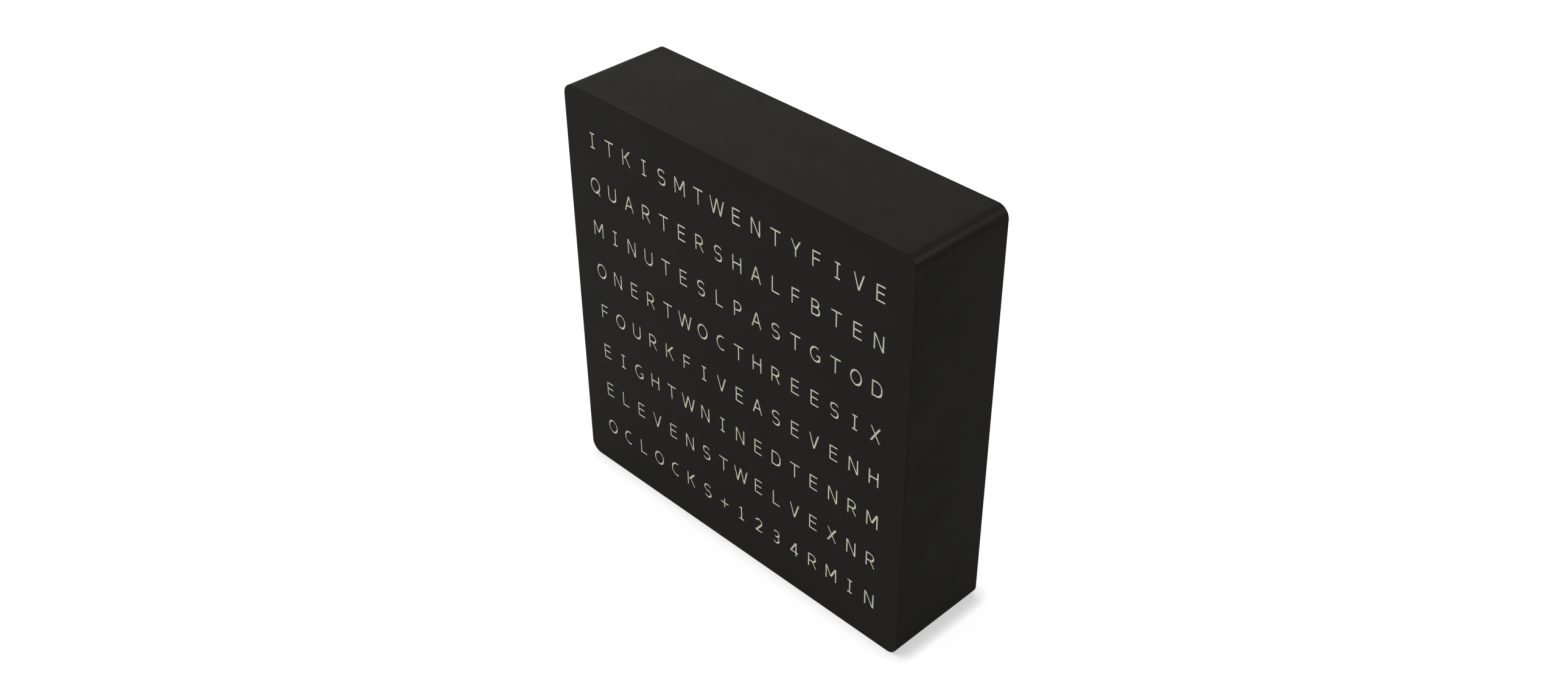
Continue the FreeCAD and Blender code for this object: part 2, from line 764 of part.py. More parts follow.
def face_letters():
    """All letters as three lists of flat faces: strokes, filled outlines and their islands."""
    drawn = {}
    strokes, outlines, islands = [], [], []
    for sign, x, z in letter_places():
        if sign not in drawn:
            draw, share = LETTERS[sign]
            pen = Pen(share * S.cap_height.value, S.cap_height.value, S.stroke_width.value)
            draw(pen)
            drawn[sign] = pen.letter()
        face = drawn[sign].copy()
        face.translate(V(x, z, 0))
        strokes.append(face)
        outlines.append(Part.Face(face.OuterWire))
        for edge_loop in face.Wires:
            if not edge_loop.isSame(face.OuterWire):
                islands.append(Part.Face(edge_loop))
    return strokes, outlines, islands


def prisms(faces, y_back, length):
    """Flat faces stood up on the face of the clock, from a plane forward by a length."""
    shapes = []
    for face in faces:
        shape = face.extrude(V(0, 0, length.value))
        if shape.Volume < 0:
            shape.reverse()
        shape.Placement = FreeCAD.Placement(V(0, y_back.value, 0), TO_PANEL)
        shapes.append(shape)
    return Part.makeCompound(shapes)


# Wires


def wire_path(points):
    """Straight runs joined by tangent arcs, each as large as its two runs allow."""
    edges = []
    start = points[0]
    for before, corner, after in zip(points, points[1:], points[2:]):
        run_in, run_out = corner - before, after - corner
        turn = run_in.getAngle(run_out)
        reach = 0.45 * min(run_in.Length, run_out.Length)
        first = corner - run_in.normalize() * reach
        last = corner + run_out.normalize() * reach
        radius = reach / math.tan(turn / 2)
        towards = ((first + last) * 0.5 - corner).normalize()
        middle = corner + towards * (radius / math.cos(turn / 2) - radius)
        edges.append(Part.LineSegment(start, first).toShape())
        edges.append(Part.Arc(first, middle, last).toShape())
        start = last
    edges.append(Part.LineSegment(start, points[-1]).toShape())
    return Part.Wire(edges)


def wire(points, diameter):
    """A round wire through points given as (x, y, z) sizes. Checks its volume against its length."""
    corners = [V(*[as_size(p).value for p in point]) for point in points]
    path = wire_path(corners)
    radius = diameter.value / 2
    ring = Part.Wire(Part.makeCircle(radius, corners[0], corners[1] - corners[0]))
    tube = path.makePipeShell([ring], True, False)
    expected = math.pi * radius**2 * path.Length
    if not tube.isValid() or abs(tube.Volume - expected) > 0.01 * expected:
        raise RuntimeError(f"a wire has volume {tube.Volume:.1f} in place of {expected:.1f}")
    return tube


# The case


def make_case():
    """The walls in one piece, with the ledge for the light guide and the screw posts."""
    depth = S.case_depth - S.film_thick
    ledge_back = depth - S.guide_thick - S.ledge_thick
    body = panel("case_shell", Y_REAR)
    drawing = sketch(body, "outside")
    rectangle(drawing, -S.case_width / 2, 0, S.case_width, S.case_height)
    pad(body, drawing, depth)
    round_corners(body, S.corner_radius, S.case_width / 2, as_size(0), S.case_height)
    drawing = sketch(body, "inside")
    rectangle(drawing, -INNER_X, S.wall_thick, 2 * INNER_X, INNER_TOP - S.wall_thick)
    pocket(body, drawing, depth)
    round_corners(body, S.corner_radius - S.wall_thick, INNER_X, S.wall_thick, INNER_TOP)
    bury = S.wall_thick / 5
    drawing = sketch(body, "ledge", ledge_back)
    rectangle(
        drawing,
        -INNER_X - bury,
        S.wall_thick - bury,
        2 * (INNER_X + bury),
        INNER_TOP - S.wall_thick + 2 * bury,
    )
    rectangle(
        drawing,
        S.ledge_width - INNER_X,
        S.wall_thick + S.ledge_width,
        2 * (INNER_X - S.ledge_width),
        INNER_TOP - S.wall_thick - 2 * S.ledge_width,
    )
    pad(body, drawing, S.ledge_thick)
    cover_seat = S.cover_recess + S.cover_thick
    carrier_seat = Y_REAR - Y_CARRIER
    for name, posts, seat in (
        ("cover_posts", COVER_POSTS, cover_seat),
        ("carrier_posts", CARRIER_POSTS, carrier_seat),
    ):
        drawing = sketch(body, name, seat)
        for x, z in posts:
            post_rectangle(drawing, x, z)
        pad(body, drawing, ledge_back - seat)
        drawing = sketch(body, name + "_holes", seat)
        for x, z in posts:
            circle(drawing, x, z, S.insert_size / 2 + S.fit_play)
        pocket(body, drawing, S.insert_length + 1)
    keep("case_shell", body)


def post_rectangle(drawing, x, z, grow=0):
    """A post's section, from inside the nearest wall inward. grow widens it for the notch of a panel."""
    grow = as_size(grow)
    half_wall = S.wall_thick / 2
    reach = S.post_reach + half_wall + grow
    width = S.post_width + 2 * grow
    at_side = abs(x.value) > S.inner_post_x.value + S.post_width.value
    if at_side and x.value > 0:
        rectangle(drawing, INNER_X - S.post_reach - grow, z - width / 2, reach, width)
    elif at_side:
        rectangle(drawing, -INNER_X - half_wall, z - width / 2, reach, width)
    elif z.value < MID_Z.value:
        rectangle(drawing, x - width / 2, half_wall, width, reach)
    else:
        rectangle(drawing, x - width / 2, INNER_TOP - S.post_reach - grow, width, reach)


def inner_panel(label, y_back, thick, gap):
    """A plate with rounded corners that fills the case's opening, less a gap all round."""
    body = panel(label, y_back)
    drawing = sketch(body, "outline")
    half, low, high = INNER_X - gap, S.wall_thick + gap, INNER_TOP - gap
    rectangle(drawing, -half, low, 2 * half, high - low)
    pad(body, drawing, thick)
    round_corners(body, S.corner_radius - S.wall_thick - gap, half, low, high)
    return body


def make_face():
    """The black film with its letters cut out, the loose islands of film, and the light guide."""
    strokes, outlines, islands = face_letters()
    sheet = panel("film_sheet", Y_GUIDE)
    drawing = sketch(sheet, "outline")
    rectangle(drawing, -S.case_width / 2, 0, S.case_width, S.case_height)
    pad(sheet, drawing, S.film_thick)
    round_corners(sheet, S.corner_radius, S.case_width / 2, as_size(0), S.case_height)
    openings = feature("film_openings", prisms(outlines, Y_GUIDE + 1, S.film_thick + 2))
    keep("face_film", cut("face_film", sheet, openings))
    keep("film_islands", feature("film_islands", prisms(islands, Y_GUIDE, S.film_thick)))
    plate = inner_panel("guide_plate", Y_LEDGE, S.guide_thick, S.seat_gap)
    floor = Y_FRONT + S.letter_depth
    channels = feature("letter_channels", prisms(strokes, floor, S.letter_depth + 1))
    keep("letter_guide", cut("letter_guide", plate, channels))


def make_baffle():
    """One cell for each letter, open front and back, with notches where the strips' wires pass."""
    body = panel("baffle_grid", Y_CARRIER)
    half_wall = S.baffle_wall / 2
    drawing = sketch(body, "outline")
    rectangle(
        drawing,
        -GRID_X - half_wall,
        GRID_LOW - half_wall,
        2 * GRID_X + S.baffle_wall,
        S.letter_rows * S.row_pitch + S.baffle_wall,
    )
    pad(body, drawing, S.baffle_depth)
    drawing = sketch(body, "cell")
    rectangle(
        drawing,
        half_wall - GRID_X,
        GRID_LOW + half_wall,
        S.column_pitch - S.baffle_wall,
        S.row_pitch - S.baffle_wall,
    )
    cell = pocket(body, drawing, S.baffle_depth)
    repeat(body, cell, x=(S.column_pitch, S.letter_columns), y=(S.row_pitch, S.letter_rows))
    drawing = sketch(body, "notches")
    for side in (-1, 1):
        centred_rectangle(drawing, side * GRID_X, FIRST_ROW_Z, S.baffle_wall + 0.4, S.strip_width)
    notches = pocket(body, drawing, S.baffle_notch)
    repeat(body, notches, y=(S.row_pitch, S.letter_rows))
    keep("baffle_grid", body)


def make_carrier():
    """The plate behind the baffle: grooves for the strips, notches for the cover's posts."""
    body = inner_panel("led_carrier", Y_CARRIER_BACK, S.carrier_thick, S.panel_gap)
    groove = S.strip_thick + S.strip_play
    drawing = sketch(body, "groove", S.carrier_thick - groove)
    centred_rectangle(drawing, as_size(0), FIRST_ROW_Z, 2 * GRID_X + 0.6, S.strip_width + 2 * S.panel_gap)
    grooves = pocket(body, drawing, groove)
    repeat(body, grooves, y=(S.row_pitch, S.letter_rows))
    drawing = sketch(body, "post_notches")
    for x, z in COVER_POSTS:
        post_rectangle(drawing, x, z, S.panel_gap)
    pocket(body, drawing, S.carrier_thick)
    drawing = sketch(body, "screw_holes")
    for x, z in CARRIER_POSTS:
        circle(drawing, x, z, S.screw_size / 2 + S.hole_play)
    pocket(body, drawing, S.carrier_thick)
    drawing = sketch(body, "wire_slot")
    slot_x = FEED_X - S.link_wire / 2
    centred_rectangle(drawing, slot_x, FIRST_ROW_Z, 5 * S.link_wire, 2 * S.pad_pitch + 3 * S.link_wire)
    pocket(body, drawing, S.carrier_thick)
    keep("led_carrier", body)


# LED strips, chained to and fro from the bottom right


def make_strips():
    for row in range(ROWS):
        z = FIRST_ROW_Z + row * S.row_pitch
        label = f"led_strip_{row + 1}"
        low = (-GRID_X, Y_STRIP, z - S.strip_width / 2)
        tape = box(f"tape_{row + 1}", low, (2 * GRID_X, S.strip_thick, S.strip_width))
        pads = [solder_pad(f"pad_{row + 1}", z, side, step) for side in (-1, 1) for step in (-1, 0, 1)]
        keep(label, fuse(label, tape, *pads))
        package = led_package(f"led_{row + 1}", FIRST_X, z)
        places = [(column * S.column_pitch, 0, 0) for column in range(COLUMNS)]
        copies(f"leds_{row + 1}", package, places)
    links = []
    for row in range(ROWS - 1):
        side = -1 if row % 2 == 0 else 1
        for step in (-1, 0, 1):
            links.append(strip_link(row, side, step))
    keep("strip_links", feature("strip_links", Part.makeCompound(links)))


def solder_pad(name, z, side, step):
    """One of the three pads at an end of a strip."""
    half = S.pad_size / 2
    x = side * (GRID_X - S.pad_inset)
    low = (x - half, Y_STRIP - S.pad_thick, z + step * S.pad_pitch - half)
    return box(name, low, (S.pad_size, S.pad_thick, S.pad_size))


def led_package(name, x, z):
    """A square package with a round window in its front."""
    half = S.led_size / 2
    front = Y_STRIP - S.led_height
    block = box(name + "_block", (x - half, front, z - half), (S.led_size, S.led_height, S.led_size))
    window = rod(name + "_window", (x, front - 1, z), S.led_window / 2, S.window_depth + 1)
    return cut(name, block, window)


def strip_link(row, side, step):
    """One of the three wires from the end of a strip to the end of the next one up."""
    z = FIRST_ROW_Z + row * S.row_pitch
    start = side * (GRID_X - S.pad_inset)
    out = side * (GRID_X + 3.6 - 1.5 * step)
    low, high = z + step * S.pad_pitch, z + S.row_pitch - step * S.pad_pitch
    points = [(start, Y_WIRE, low), (out, Y_WIRE, low), (out, Y_WIRE, high), (start, Y_WIRE, high)]
    return wire(points, S.link_wire)


# Fasteners


def screw(name, diameter, length, head_diameter, head_height):
    """A screw on the Y axis that points forward, its head's underside at y = 0, with a hex socket."""
    shank = rod(name + "_shank", (0, -length, 0), diameter / 2, length)
    head = rod(name + "_head", (0, 0, 0), head_diameter / 2, head_height)
    socket = hexagon(name + "_socket", (0, head_height * 0.4, 0), diameter * 0.8, head_height)
    return cut(name, fuse(name + "_solid", shank, head), socket)


def make_fasteners():
    cover_screw = screw("cover_screw", S.screw_size, S.cover_screw_length, S.head_size, S.head_height)
    copies("cover_screws", cover_screw, [(x, Y_COVER_OUT, z) for x, z in COVER_POSTS])
    carrier_screw = screw(
        "carrier_screw", S.screw_size, S.carrier_screw_length, S.head_size, S.head_height
    )
    copies("carrier_screws", carrier_screw, [(x, Y_CARRIER_BACK, z) for x, z in CARRIER_POSTS])
    tube = rod("insert_tube", (0, -S.insert_length, 0), S.insert_size / 2, S.insert_length)
    bore = S.screw_size / 2 + S.fit_play
    thread = rod("insert_thread", (0, -S.insert_length - 1, 0), bore, S.insert_length + 2)
    insert = cut("insert", tube, thread)
    places = [(x, Y_COVER_IN, z) for x, z in COVER_POSTS]
    places += [(x, Y_CARRIER, z) for x, z in CARRIER_POSTS]
    copies("threaded_inserts", insert, places)
    board_screw = screw(
        "board_screw",
        S.board_screw_size,
        S.board_screw_length,
        S.board_head_size,
        S.board_screw_size * 0.7,
    )
    doc.recompute()
    flipped = feature("board_screw_flipped", board_screw.Shape.copy())
    flipped.Placement = FreeCAD.Placement(V(0, 0, 0), FreeCAD.Rotation(V(0, 0, 1), 180))
    copies("board_screws", flipped, [(x, Y_BOARD, z) for x, z in board_holes()])


def board_holes():
    """The screw holes of both boards."""
    places = []
    for x, length, height in (
        (CONTROLLER_X, S.controller_length, S.controller_height),
        (POWER_BOARD_X, S.power_board_length, S.power_board_height),
    ):
        for side in (-1, 1):
            for end in (-1, 1):
                across = x + side * (length / 2 - S.board_hole_inset)
                places.append((across, S.boards_z + end * (height / 2 - S.board_hole_inset)))
    return places


# Rear cover


def make_cover():
    """The rear cover with its pillars, vents, keyholes and the holes for the buttons and the socket."""
    body = inner_panel("rear_cover", Y_COVER_OUT, S.cover_thick, S.panel_gap)
    drawing = sketch(body, "screw_holes")
    for x, z in COVER_POSTS:
        circle(drawing, x, z, S.screw_size / 2 + S.hole_play)
    pocket(body, drawing, S.cover_thick)
    drawing = sketch(body, "part_holes")
    for number in range(len(BUTTONS)):
        circle(drawing, button_x(number), S.rear_parts_z, S.button_barrel / 2 + S.seat_gap)
    circle(drawing, SOCKET_X, S.rear_parts_z, S.socket_barrel / 2 + S.seat_gap)
    pocket(body, drawing, S.cover_thick)
    for height, name in ((S.upper_vents_z, "upper_vent"), (S.lower_vents_z, "lower_vent")):
        drawing = sketch(body, name)
        first = -S.vent_pitch * (S.vent_count - 1) / 2
        centred_rectangle(drawing, first, height, S.vent_width, S.vent_height)
        vent = pocket(body, drawing, S.cover_thick)
        repeat(body, vent, x=(S.vent_pitch, S.vent_count))
    for side, name in ((-1, "keyhole_left"), (1, "keyhole_right")):
        x = side * S.keyhole_spacing / 2
        drawing = sketch(body, name + "_entry")
        circle(drawing, x, S.keyhole_z, S.keyhole_entry / 2)
        pocket(body, drawing, S.cover_thick)
        drawing = sketch(body, name + "_slot")
        rectangle(drawing, x - S.keyhole_slot / 2, S.keyhole_z, S.keyhole_slot, S.keyhole_rise)
        pocket(body, drawing, S.cover_thick)
        drawing = sketch(body, name + "_end")
        circle(drawing, x, S.keyhole_z + S.keyhole_rise, S.keyhole_slot / 2)
        pocket(body, drawing, S.cover_thick)
    drawing = sketch(body, "pillars", S.cover_thick)
    for x, z in board_holes():
        circle(drawing, x, z, S.pillar_size / 2)
    pad(body, drawing, S.pillar_height)
    drawing = sketch(body, "pilot_holes", S.cover_thick)
    for x, z in board_holes():
        circle(drawing, x, z, S.board_screw_size / 2 + S.fit_play)
    pocket(body, drawing, S.pillar_height)
    keep("rear_cover", body)


def button_x(number):
    return FIRST_BUTTON_X + number * S.button_pitch


# Push buttons: flange and barrel through the cover, housing, sprung cap, base with two tabs


def make_buttons():
    nuts, bases = [], []
    for number, name in enumerate(BUTTONS):
        x, z = button_x(number), S.rear_parts_z
        radius = S.button_barrel / 2
        shoulder = Y_COVER_OUT - S.button_barrel_length
        housing_front = shoulder - S.button_housing_length
        outer = Y_COVER_OUT + S.button_flange_thick
        flange = rod(name + "_flange", (x, Y_COVER_OUT, z), S.button_flange / 2, S.button_flange_thick)
        barrel = rod(name + "_barrel", (x, shoulder, z), radius, S.button_barrel_length)
        housing = rod(name + "_housing", (x, housing_front, z), radius, S.button_housing_length)
        cap_radius = S.button_cap_size / 2
        bore_length = outer - shoulder + 2
        bore = rod(name + "_bore", (x, shoulder - 1, z), cap_radius + S.slide_play, bore_length)
        cavity_radius = S.collar_size / 2 + S.panel_gap
        cavity_front = housing_front - 1
        cavity = rod(name + "_cavity", (x, cavity_front, z), cavity_radius, S.button_housing_length + 1)
        outside = fuse(name + "_outside", flange, barrel, housing)
        keep(name + "_button_body", cut(name + "_button_body", outside, bore, cavity))
        seat = shoulder - S.collar_gap - S.collar_thick
        collar = rod(name + "_collar", (x, seat, z), S.collar_size / 2, S.collar_thick)
        stem = rod(name + "_stem", (x, seat, z), cap_radius, outer + S.button_proud - seat)
        keep(name + "_button_cap", fuse(name + "_button_cap", collar, stem))
        spring = coil(x, housing_front + S.collar_gap, z, seat - S.collar_gap)
        keep(name + "_button_spring", feature(name + "_button_spring", spring))
        nuts.append(ring_nut(name + "_nut", x, z, radius, S.button_barrel + 2.6, 2))
        base = rod(name + "_base", (x, housing_front - BASE_THICK, z), radius, BASE_THICK)
        tabs = solder_tabs(name, x, housing_front - BASE_THICK, z)
        bases.append(fuse(name + "_base_and_tabs", base, *tabs))
    keep("button_bases", compound("button_bases", bases))
    keep("button_nuts", compound("button_nuts", nuts))


SPRING_TURNS = 5
RUNS_IN_TURN = 12
BASE_THICK = 1
TAB_WIDTH = 1.6


def solder_tabs(name, x, back, z):
    """Two flat tabs that stand forward from a plane, side by side."""
    tabs = []
    for side in (-1, 1):
        low_x = x + side * S.tab_spread / 2 - TAB_WIDTH / 2
        low = (low_x, back - S.tab_length, z - S.tab_thick / 2)
        tabs.append(box(f"{name}_tab{side}", low, (TAB_WIDTH, S.tab_length, S.tab_thick)))
    return tabs


def ring_nut(name, x, z, radius, across_flats, thick):
    """A hexagon nut on a barrel, against the cover's inner face."""
    block = hexagon(name + "_block", (x, Y_COVER_IN - thick, z), across_flats, thick)
    hole = rod(name + "_hole", (x, Y_COVER_IN - thick - 1, z), radius + S.fit_play, thick + 2)
    return cut(name, block, hole)


def coil(x, low, z, high):
    """A helical spring about a line along Y, between two planes, in short straight runs."""
    radius = S.spring_size.value / 2
    wire_size = S.spring_wire.value
    start = low.value + 0.6 * wire_size
    height = (high - low).value - 1.2 * wire_size
    steps = SPRING_TURNS * RUNS_IN_TURN
    points = []
    for step in range(steps + 1):
        angle = 2 * math.pi * step / RUNS_IN_TURN
        across, up = radius * math.cos(angle), radius * math.sin(angle)
        points.append(V(x.value + across, start + height * step / steps, z.value + up))
    ring = Part.Wire(Part.makeCircle(wire_size / 2, points[0], points[1] - points[0]))
    return Part.makePolygon(points).makePipeShell([ring], True, False, 1)


# Supply socket


def make_socket():
    x, z = SOCKET_X, S.rear_parts_z
    radius = S.socket_barrel / 2
    inner_end = Y_COVER_OUT - S.socket_length
    outer = Y_COVER_OUT + S.socket_flange_thick
    flange = rod("socket_flange_disc", (x, Y_COVER_OUT, z), S.socket_flange / 2, S.socket_flange_thick)
    barrel = rod("socket_barrel_rod", (x, inner_end, z), radius, S.socket_length)
    floor = outer - S.socket_bore_depth
    bore = rod("socket_bore_rod", (x, floor, z), S.socket_bore / 2, S.socket_bore_depth + 1)
    keep("supply_socket", cut("supply_socket", fuse("socket_outside", flange, barrel), bore))
    keep("socket_pin", rod("socket_centre_pin", (x, floor, z), S.socket_pin / 2, S.socket_bore_depth - 1.2))
    keep("socket_nut", ring_nut("socket_ring_nut", x, z, radius, S.socket_barrel + 3, 2.2))
    keep("socket_tabs", compound("socket_tabs", solder_tabs("socket", x, inner_end, z)))


# Boards on the rear cover's pillars. Their parts stand on the front side of the board


def board(label, x, length, height):
    body = panel(label, Y_BOARD_BACK)
    drawing = sketch(body, "outline")
    centred_rectangle(drawing, x, S.boards_z, length, height)
    for side in (-1, 1):
        for end in (-1, 1):
            circle(
                drawing,
                x + side * (length / 2 - S.board_hole_inset),
                S.boards_z + end * (height / 2 - S.board_hole_inset),
                S.board_screw_size / 2 + 0.1,
            )
    pad(body, drawing, S.board_thick)
    return keep(label, body)


def on_board(name, x, z, across, height, up):
    """A block on a board's front: x and z its centre, up its height off the board."""
    return box(name, (x - across / 2, Y_BOARD - up, z - height / 2), (across, up, height))


def make_controller():
    """The controller: board, radio module with its shield, socket, two pin headers, two key switches."""
    x, z = CONTROLLER_X, S.boards_z
    board("controller_board", x, S.controller_length, S.controller_height)
    module_x = x - S.controller_length / 2 + 16
    keep("radio_module", on_board("radio_module", module_x, z, as_size(25), as_size(18), 0.8))
    shield = box("radio_shield_can", (module_x - 6, Y_BOARD - 0.8 - 2.4, z - 7.5), (17, 2.4, 15))
    keep("radio_shield", shield)
    end = x + S.controller_length / 2
    shell = box("programming_socket_shell", (end - 5, Y_BOARD - 2.6, z - 3.75), (6, 2.6, 7.5))
    mouth = box("programming_socket_mouth", (end - 4, Y_BOARD - 2.2, z - 3.3), (6, 1.8, 6.6))
    keep("programming_socket", cut("programming_socket", shell, mouth))
    headers = []
    for side in (-1, 1):
        row_z = z + side * (S.controller_height / 2 - S.header_inset)
        length = S.pin_pitch * PIN_COUNT
        strip = on_board(f"header_strip{side}", x, row_z, length, S.pin_pitch, S.pin_pitch)
        pins = []
        for pin in range(PIN_COUNT):
            pin_x = x + (pin - (PIN_COUNT - 1) / 2) * S.pin_pitch
            size = (S.pin_width, S.pin_width, S.pin_height)
            pins.append(on_board(f"header_pin{side}_{pin}", pin_x, row_z, *size))
        headers.append(fuse(f"header{side}", strip, *pins))
    keep("pin_headers", compound("pin_headers", headers))
    keys = []
    for side in (-1, 1):
        base = on_board(f"key_base{side}", end - 10, z + side * 5, 4, 4, 1.6)
        knob = rod(f"key_knob{side}", (end - 10, Y_BOARD - 2.1, z + side * 5), 1, 1)
        keys.append(fuse(f"key{side}", base, knob))
    keep("key_switches", compound("key_switches", keys))


PIN_COUNT = 15


def make_power_board():
    """The power board: two screw terminals, a level shifter, a smoothing capacitor, a pin header."""
    x, z = POWER_BOARD_X, S.boards_z
    board("power_board", x, S.power_board_length, S.power_board_height)
    right = x + S.power_board_length / 2
    terminal_x = right - S.terminal_inset
    for name, rise, ways in (
        ("supply_terminal", S.supply_terminal_rise, 2),
        ("strip_terminal", S.strip_terminal_rise, 3),
    ):
        keep(name, terminal(name, terminal_x, z + rise, ways))
    can = rod("capacitor_can", (x - 3, Y_BOARD - 16, z + 1), 5, 15.2)
    foot = rod("capacitor_foot", (x - 3, Y_BOARD - 0.8, z + 1), 4.4, 0.8)
    keep("smoothing_capacitor", fuse("smoothing_capacitor", can, foot))
    chip = box("shifter_chip", (x - 18, Y_BOARD - 4.3, z - 9.5), (6.4, 3.3, 19))
    legs = []
    for side in (-1, 1):
        for leg in range(7):
            low = (x - 15.1 + side * 3.5, Y_BOARD - 2.6, z + (leg - 3) * S.pin_pitch - 0.3)
            legs.append(box(f"shifter_leg{side}_{leg}", low, (0.6, 2.6, 0.6)))
    keep("level_shifter", fuse("level_shifter", chip, *legs))


def terminal(name, x, z, ways):
    """A screw terminal whose wire entries face +X, with its screws' wells on the front."""
    height = ways * S.terminal_pitch
    block = on_board(name + "_block", x, z, 8, height, 10)
    tools = []
    for way in range(ways):
        level = z + (way - (ways - 1) / 2) * S.terminal_pitch
        tools.append(rod(f"{name}_well{way}", (x - 0.5, Y_BOARD - 11, level), 1.8, 3))
        tools.append(box(f"{name}_entry{way}", (x + 1, Y_BOARD - 5, level - 1.4), (4, 3.2, 2.8)))
    return cut(name, block, *tools)


# Wires inside the case


def make_wires():
    right = POWER_BOARD_X + S.power_board_length / 2 - S.terminal_inset + 1
    entry_y = Y_BOARD - 3.4
    tab_y = Y_COVER_OUT - S.socket_length - S.tab_length
    leads = []
    for side in (-1, 1):
        x = SOCKET_X + side * S.tab_spread / 2
        level = S.boards_z + S.supply_terminal_rise + side * S.terminal_pitch / 2
        turn_x = right + 12 - side * 2
        points = [
            (x, tab_y, S.rear_parts_z),
            (x, tab_y - 5, S.rear_parts_z),
            (turn_x, tab_y - 5, S.rear_parts_z + 8),
            (turn_x, entry_y, level),
            (right, entry_y, level),
        ]
        leads.append(wire(points, S.power_wire))
    keep("supply_leads", feature("supply_leads", Part.makeCompound(leads)))
    leads = []
    for step in (-1, 0, 1):
        level = S.boards_z + S.strip_terminal_rise + step * S.terminal_pitch
        strip_z = FIRST_ROW_Z + step * S.pad_pitch
        points = [
            (GRID_X - S.pad_inset, Y_WIRE, strip_z),
            (FEED_X, Y_WIRE, strip_z),
            (FEED_X, Y_CARRIER_BACK + 6 - 2 * step, strip_z + 2),
            (FEED_X - 1, entry_y, level),
            (right, entry_y, level),
        ]
        leads.append(wire(points, S.link_wire))
    keep("strip_leads", feature("strip_leads", Part.makeCompound(leads)))
    make_signal_leads()
    make_button_leads()


def make_signal_leads():
    """Three wires from the controller's upper header to the power board."""
    leads = []
    pin_y = Y_BOARD - S.pin_height
    for step in range(3):
        pin_x = CONTROLLER_X + ((PIN_COUNT - 1) / 2 - step) * S.pin_pitch
        pin_z = S.boards_z + S.controller_height / 2 - S.header_inset
        pad_x = POWER_BOARD_X - 22
        pad_z = S.boards_z + 4 - step * 4
        points = [
            (pin_x, pin_y, pin_z),
            (pin_x, pin_y - 4 - step, pin_z),
            (pad_x - 14, pin_y - 4 - step, pad_z + 2),
            (pad_x, pin_y - 4 - step, pad_z),
            (pad_x, Y_BOARD, pad_z),
        ]
        leads.append(wire(points, S.link_wire))
    keep("signal_leads", feature("signal_leads", Part.makeCompound(leads)))


def make_button_leads():
    """Two wires from each push button to the controller's lower header."""
    leads = []
    pin_y = Y_BOARD - S.pin_height
    body_length = S.button_barrel_length + S.button_housing_length + BASE_THICK
    tab_y = Y_COVER_OUT - body_length - S.tab_length
    pin_z = S.boards_z - S.controller_height / 2 + S.header_inset
    for number in range(len(BUTTONS)):
        for side in (-1, 1):
            pin = 2 * number + (side + 1) // 2
            pin_x = CONTROLLER_X + (pin - (PIN_COUNT - 1) / 2) * S.pin_pitch
            start_x = button_x(number) + side * S.tab_spread / 2
            deep = tab_y - 4
            points = [
                (start_x, tab_y, S.rear_parts_z),
                (start_x, deep, S.rear_parts_z),
                (pin_x, deep, pin_z),
                (pin_x, pin_y, pin_z),
            ]
            leads.append(wire(points, S.link_wire))
    keep("button_leads", feature("button_leads", Part.makeCompound(leads)))


def check_and_write():
    """Checks every object's state and every piece's shape, then writes one file for each piece."""
    doc.recompute()
    for thing in doc.Objects:
        if "Invalid" in thing.State or "Error" in thing.State:
            raise RuntimeError(f"{thing.Name} is {thing.State}")
    os.makedirs("parts", exist_ok=True)
    for label, thing in sorted(NODES.items()):
        shape = thing.Shape
        if shape.isNull() or not shape.isValid() or not shape.Solids:
            raise RuntimeError(f"{label} has no valid shape")
        shape.exportStep(f"parts/{label}.step")
        reach = shape.BoundBox
        print(f"{label}: {len(shape.Solids)} solids, {shape.Volume:.1f} mm3,", end=" ")
        print(f"x {reach.XMin:.2f}..{reach.XMax:.2f} y {reach.YMin:.2f}..{reach.YMax:.2f}", end=" ")
        print(f"z {reach.ZMin:.2f}..{reach.ZMax:.2f}")
    print(len(NODES), "pieces")


make_case()
make_face()
make_baffle()
make_carrier()
make_strips()
make_fasteners()
make_cover()
make_buttons()
make_socket()
make_controller()
make_power_board()
make_wires()
check_and_write()
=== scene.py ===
import math

import bpy
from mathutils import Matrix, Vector


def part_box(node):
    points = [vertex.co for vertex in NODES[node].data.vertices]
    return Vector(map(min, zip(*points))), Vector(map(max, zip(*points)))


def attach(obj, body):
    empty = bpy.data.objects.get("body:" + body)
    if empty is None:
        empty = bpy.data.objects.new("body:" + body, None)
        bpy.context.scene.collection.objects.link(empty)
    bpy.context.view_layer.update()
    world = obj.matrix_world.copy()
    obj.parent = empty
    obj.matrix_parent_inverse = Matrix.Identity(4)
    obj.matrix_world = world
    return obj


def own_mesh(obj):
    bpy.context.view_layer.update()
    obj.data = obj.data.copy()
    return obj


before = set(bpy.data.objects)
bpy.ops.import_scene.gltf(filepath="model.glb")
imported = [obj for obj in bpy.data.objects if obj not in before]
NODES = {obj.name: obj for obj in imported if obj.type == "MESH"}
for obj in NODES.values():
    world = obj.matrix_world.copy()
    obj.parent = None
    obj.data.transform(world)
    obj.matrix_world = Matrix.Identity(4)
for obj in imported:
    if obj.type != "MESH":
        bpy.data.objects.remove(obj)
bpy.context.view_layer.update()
BODY = "clock"
ROWS = 8
COLUMNS = 16
PITCH = 0.010
ROW_PITCH = 0.020
FIRST_X = -0.075
FIRST_Z = 0.020
PAD_THICK = 0.00006
PAD_PITCH = 0.003
PAD_X = 0.0785
BUTTONS = ("setup", "dimmer", "brighter")


# Colours and materials


def linear(colour):
    """An sRGB colour in 0 to 255 as linear light, with alpha."""
    parts = []
    for part in colour:
        share = part / 255
        parts.append(share / 12.92 if share <= 0.04045 else ((share + 0.055) / 1.055) ** 2.4)
    return (*parts, 1.0)


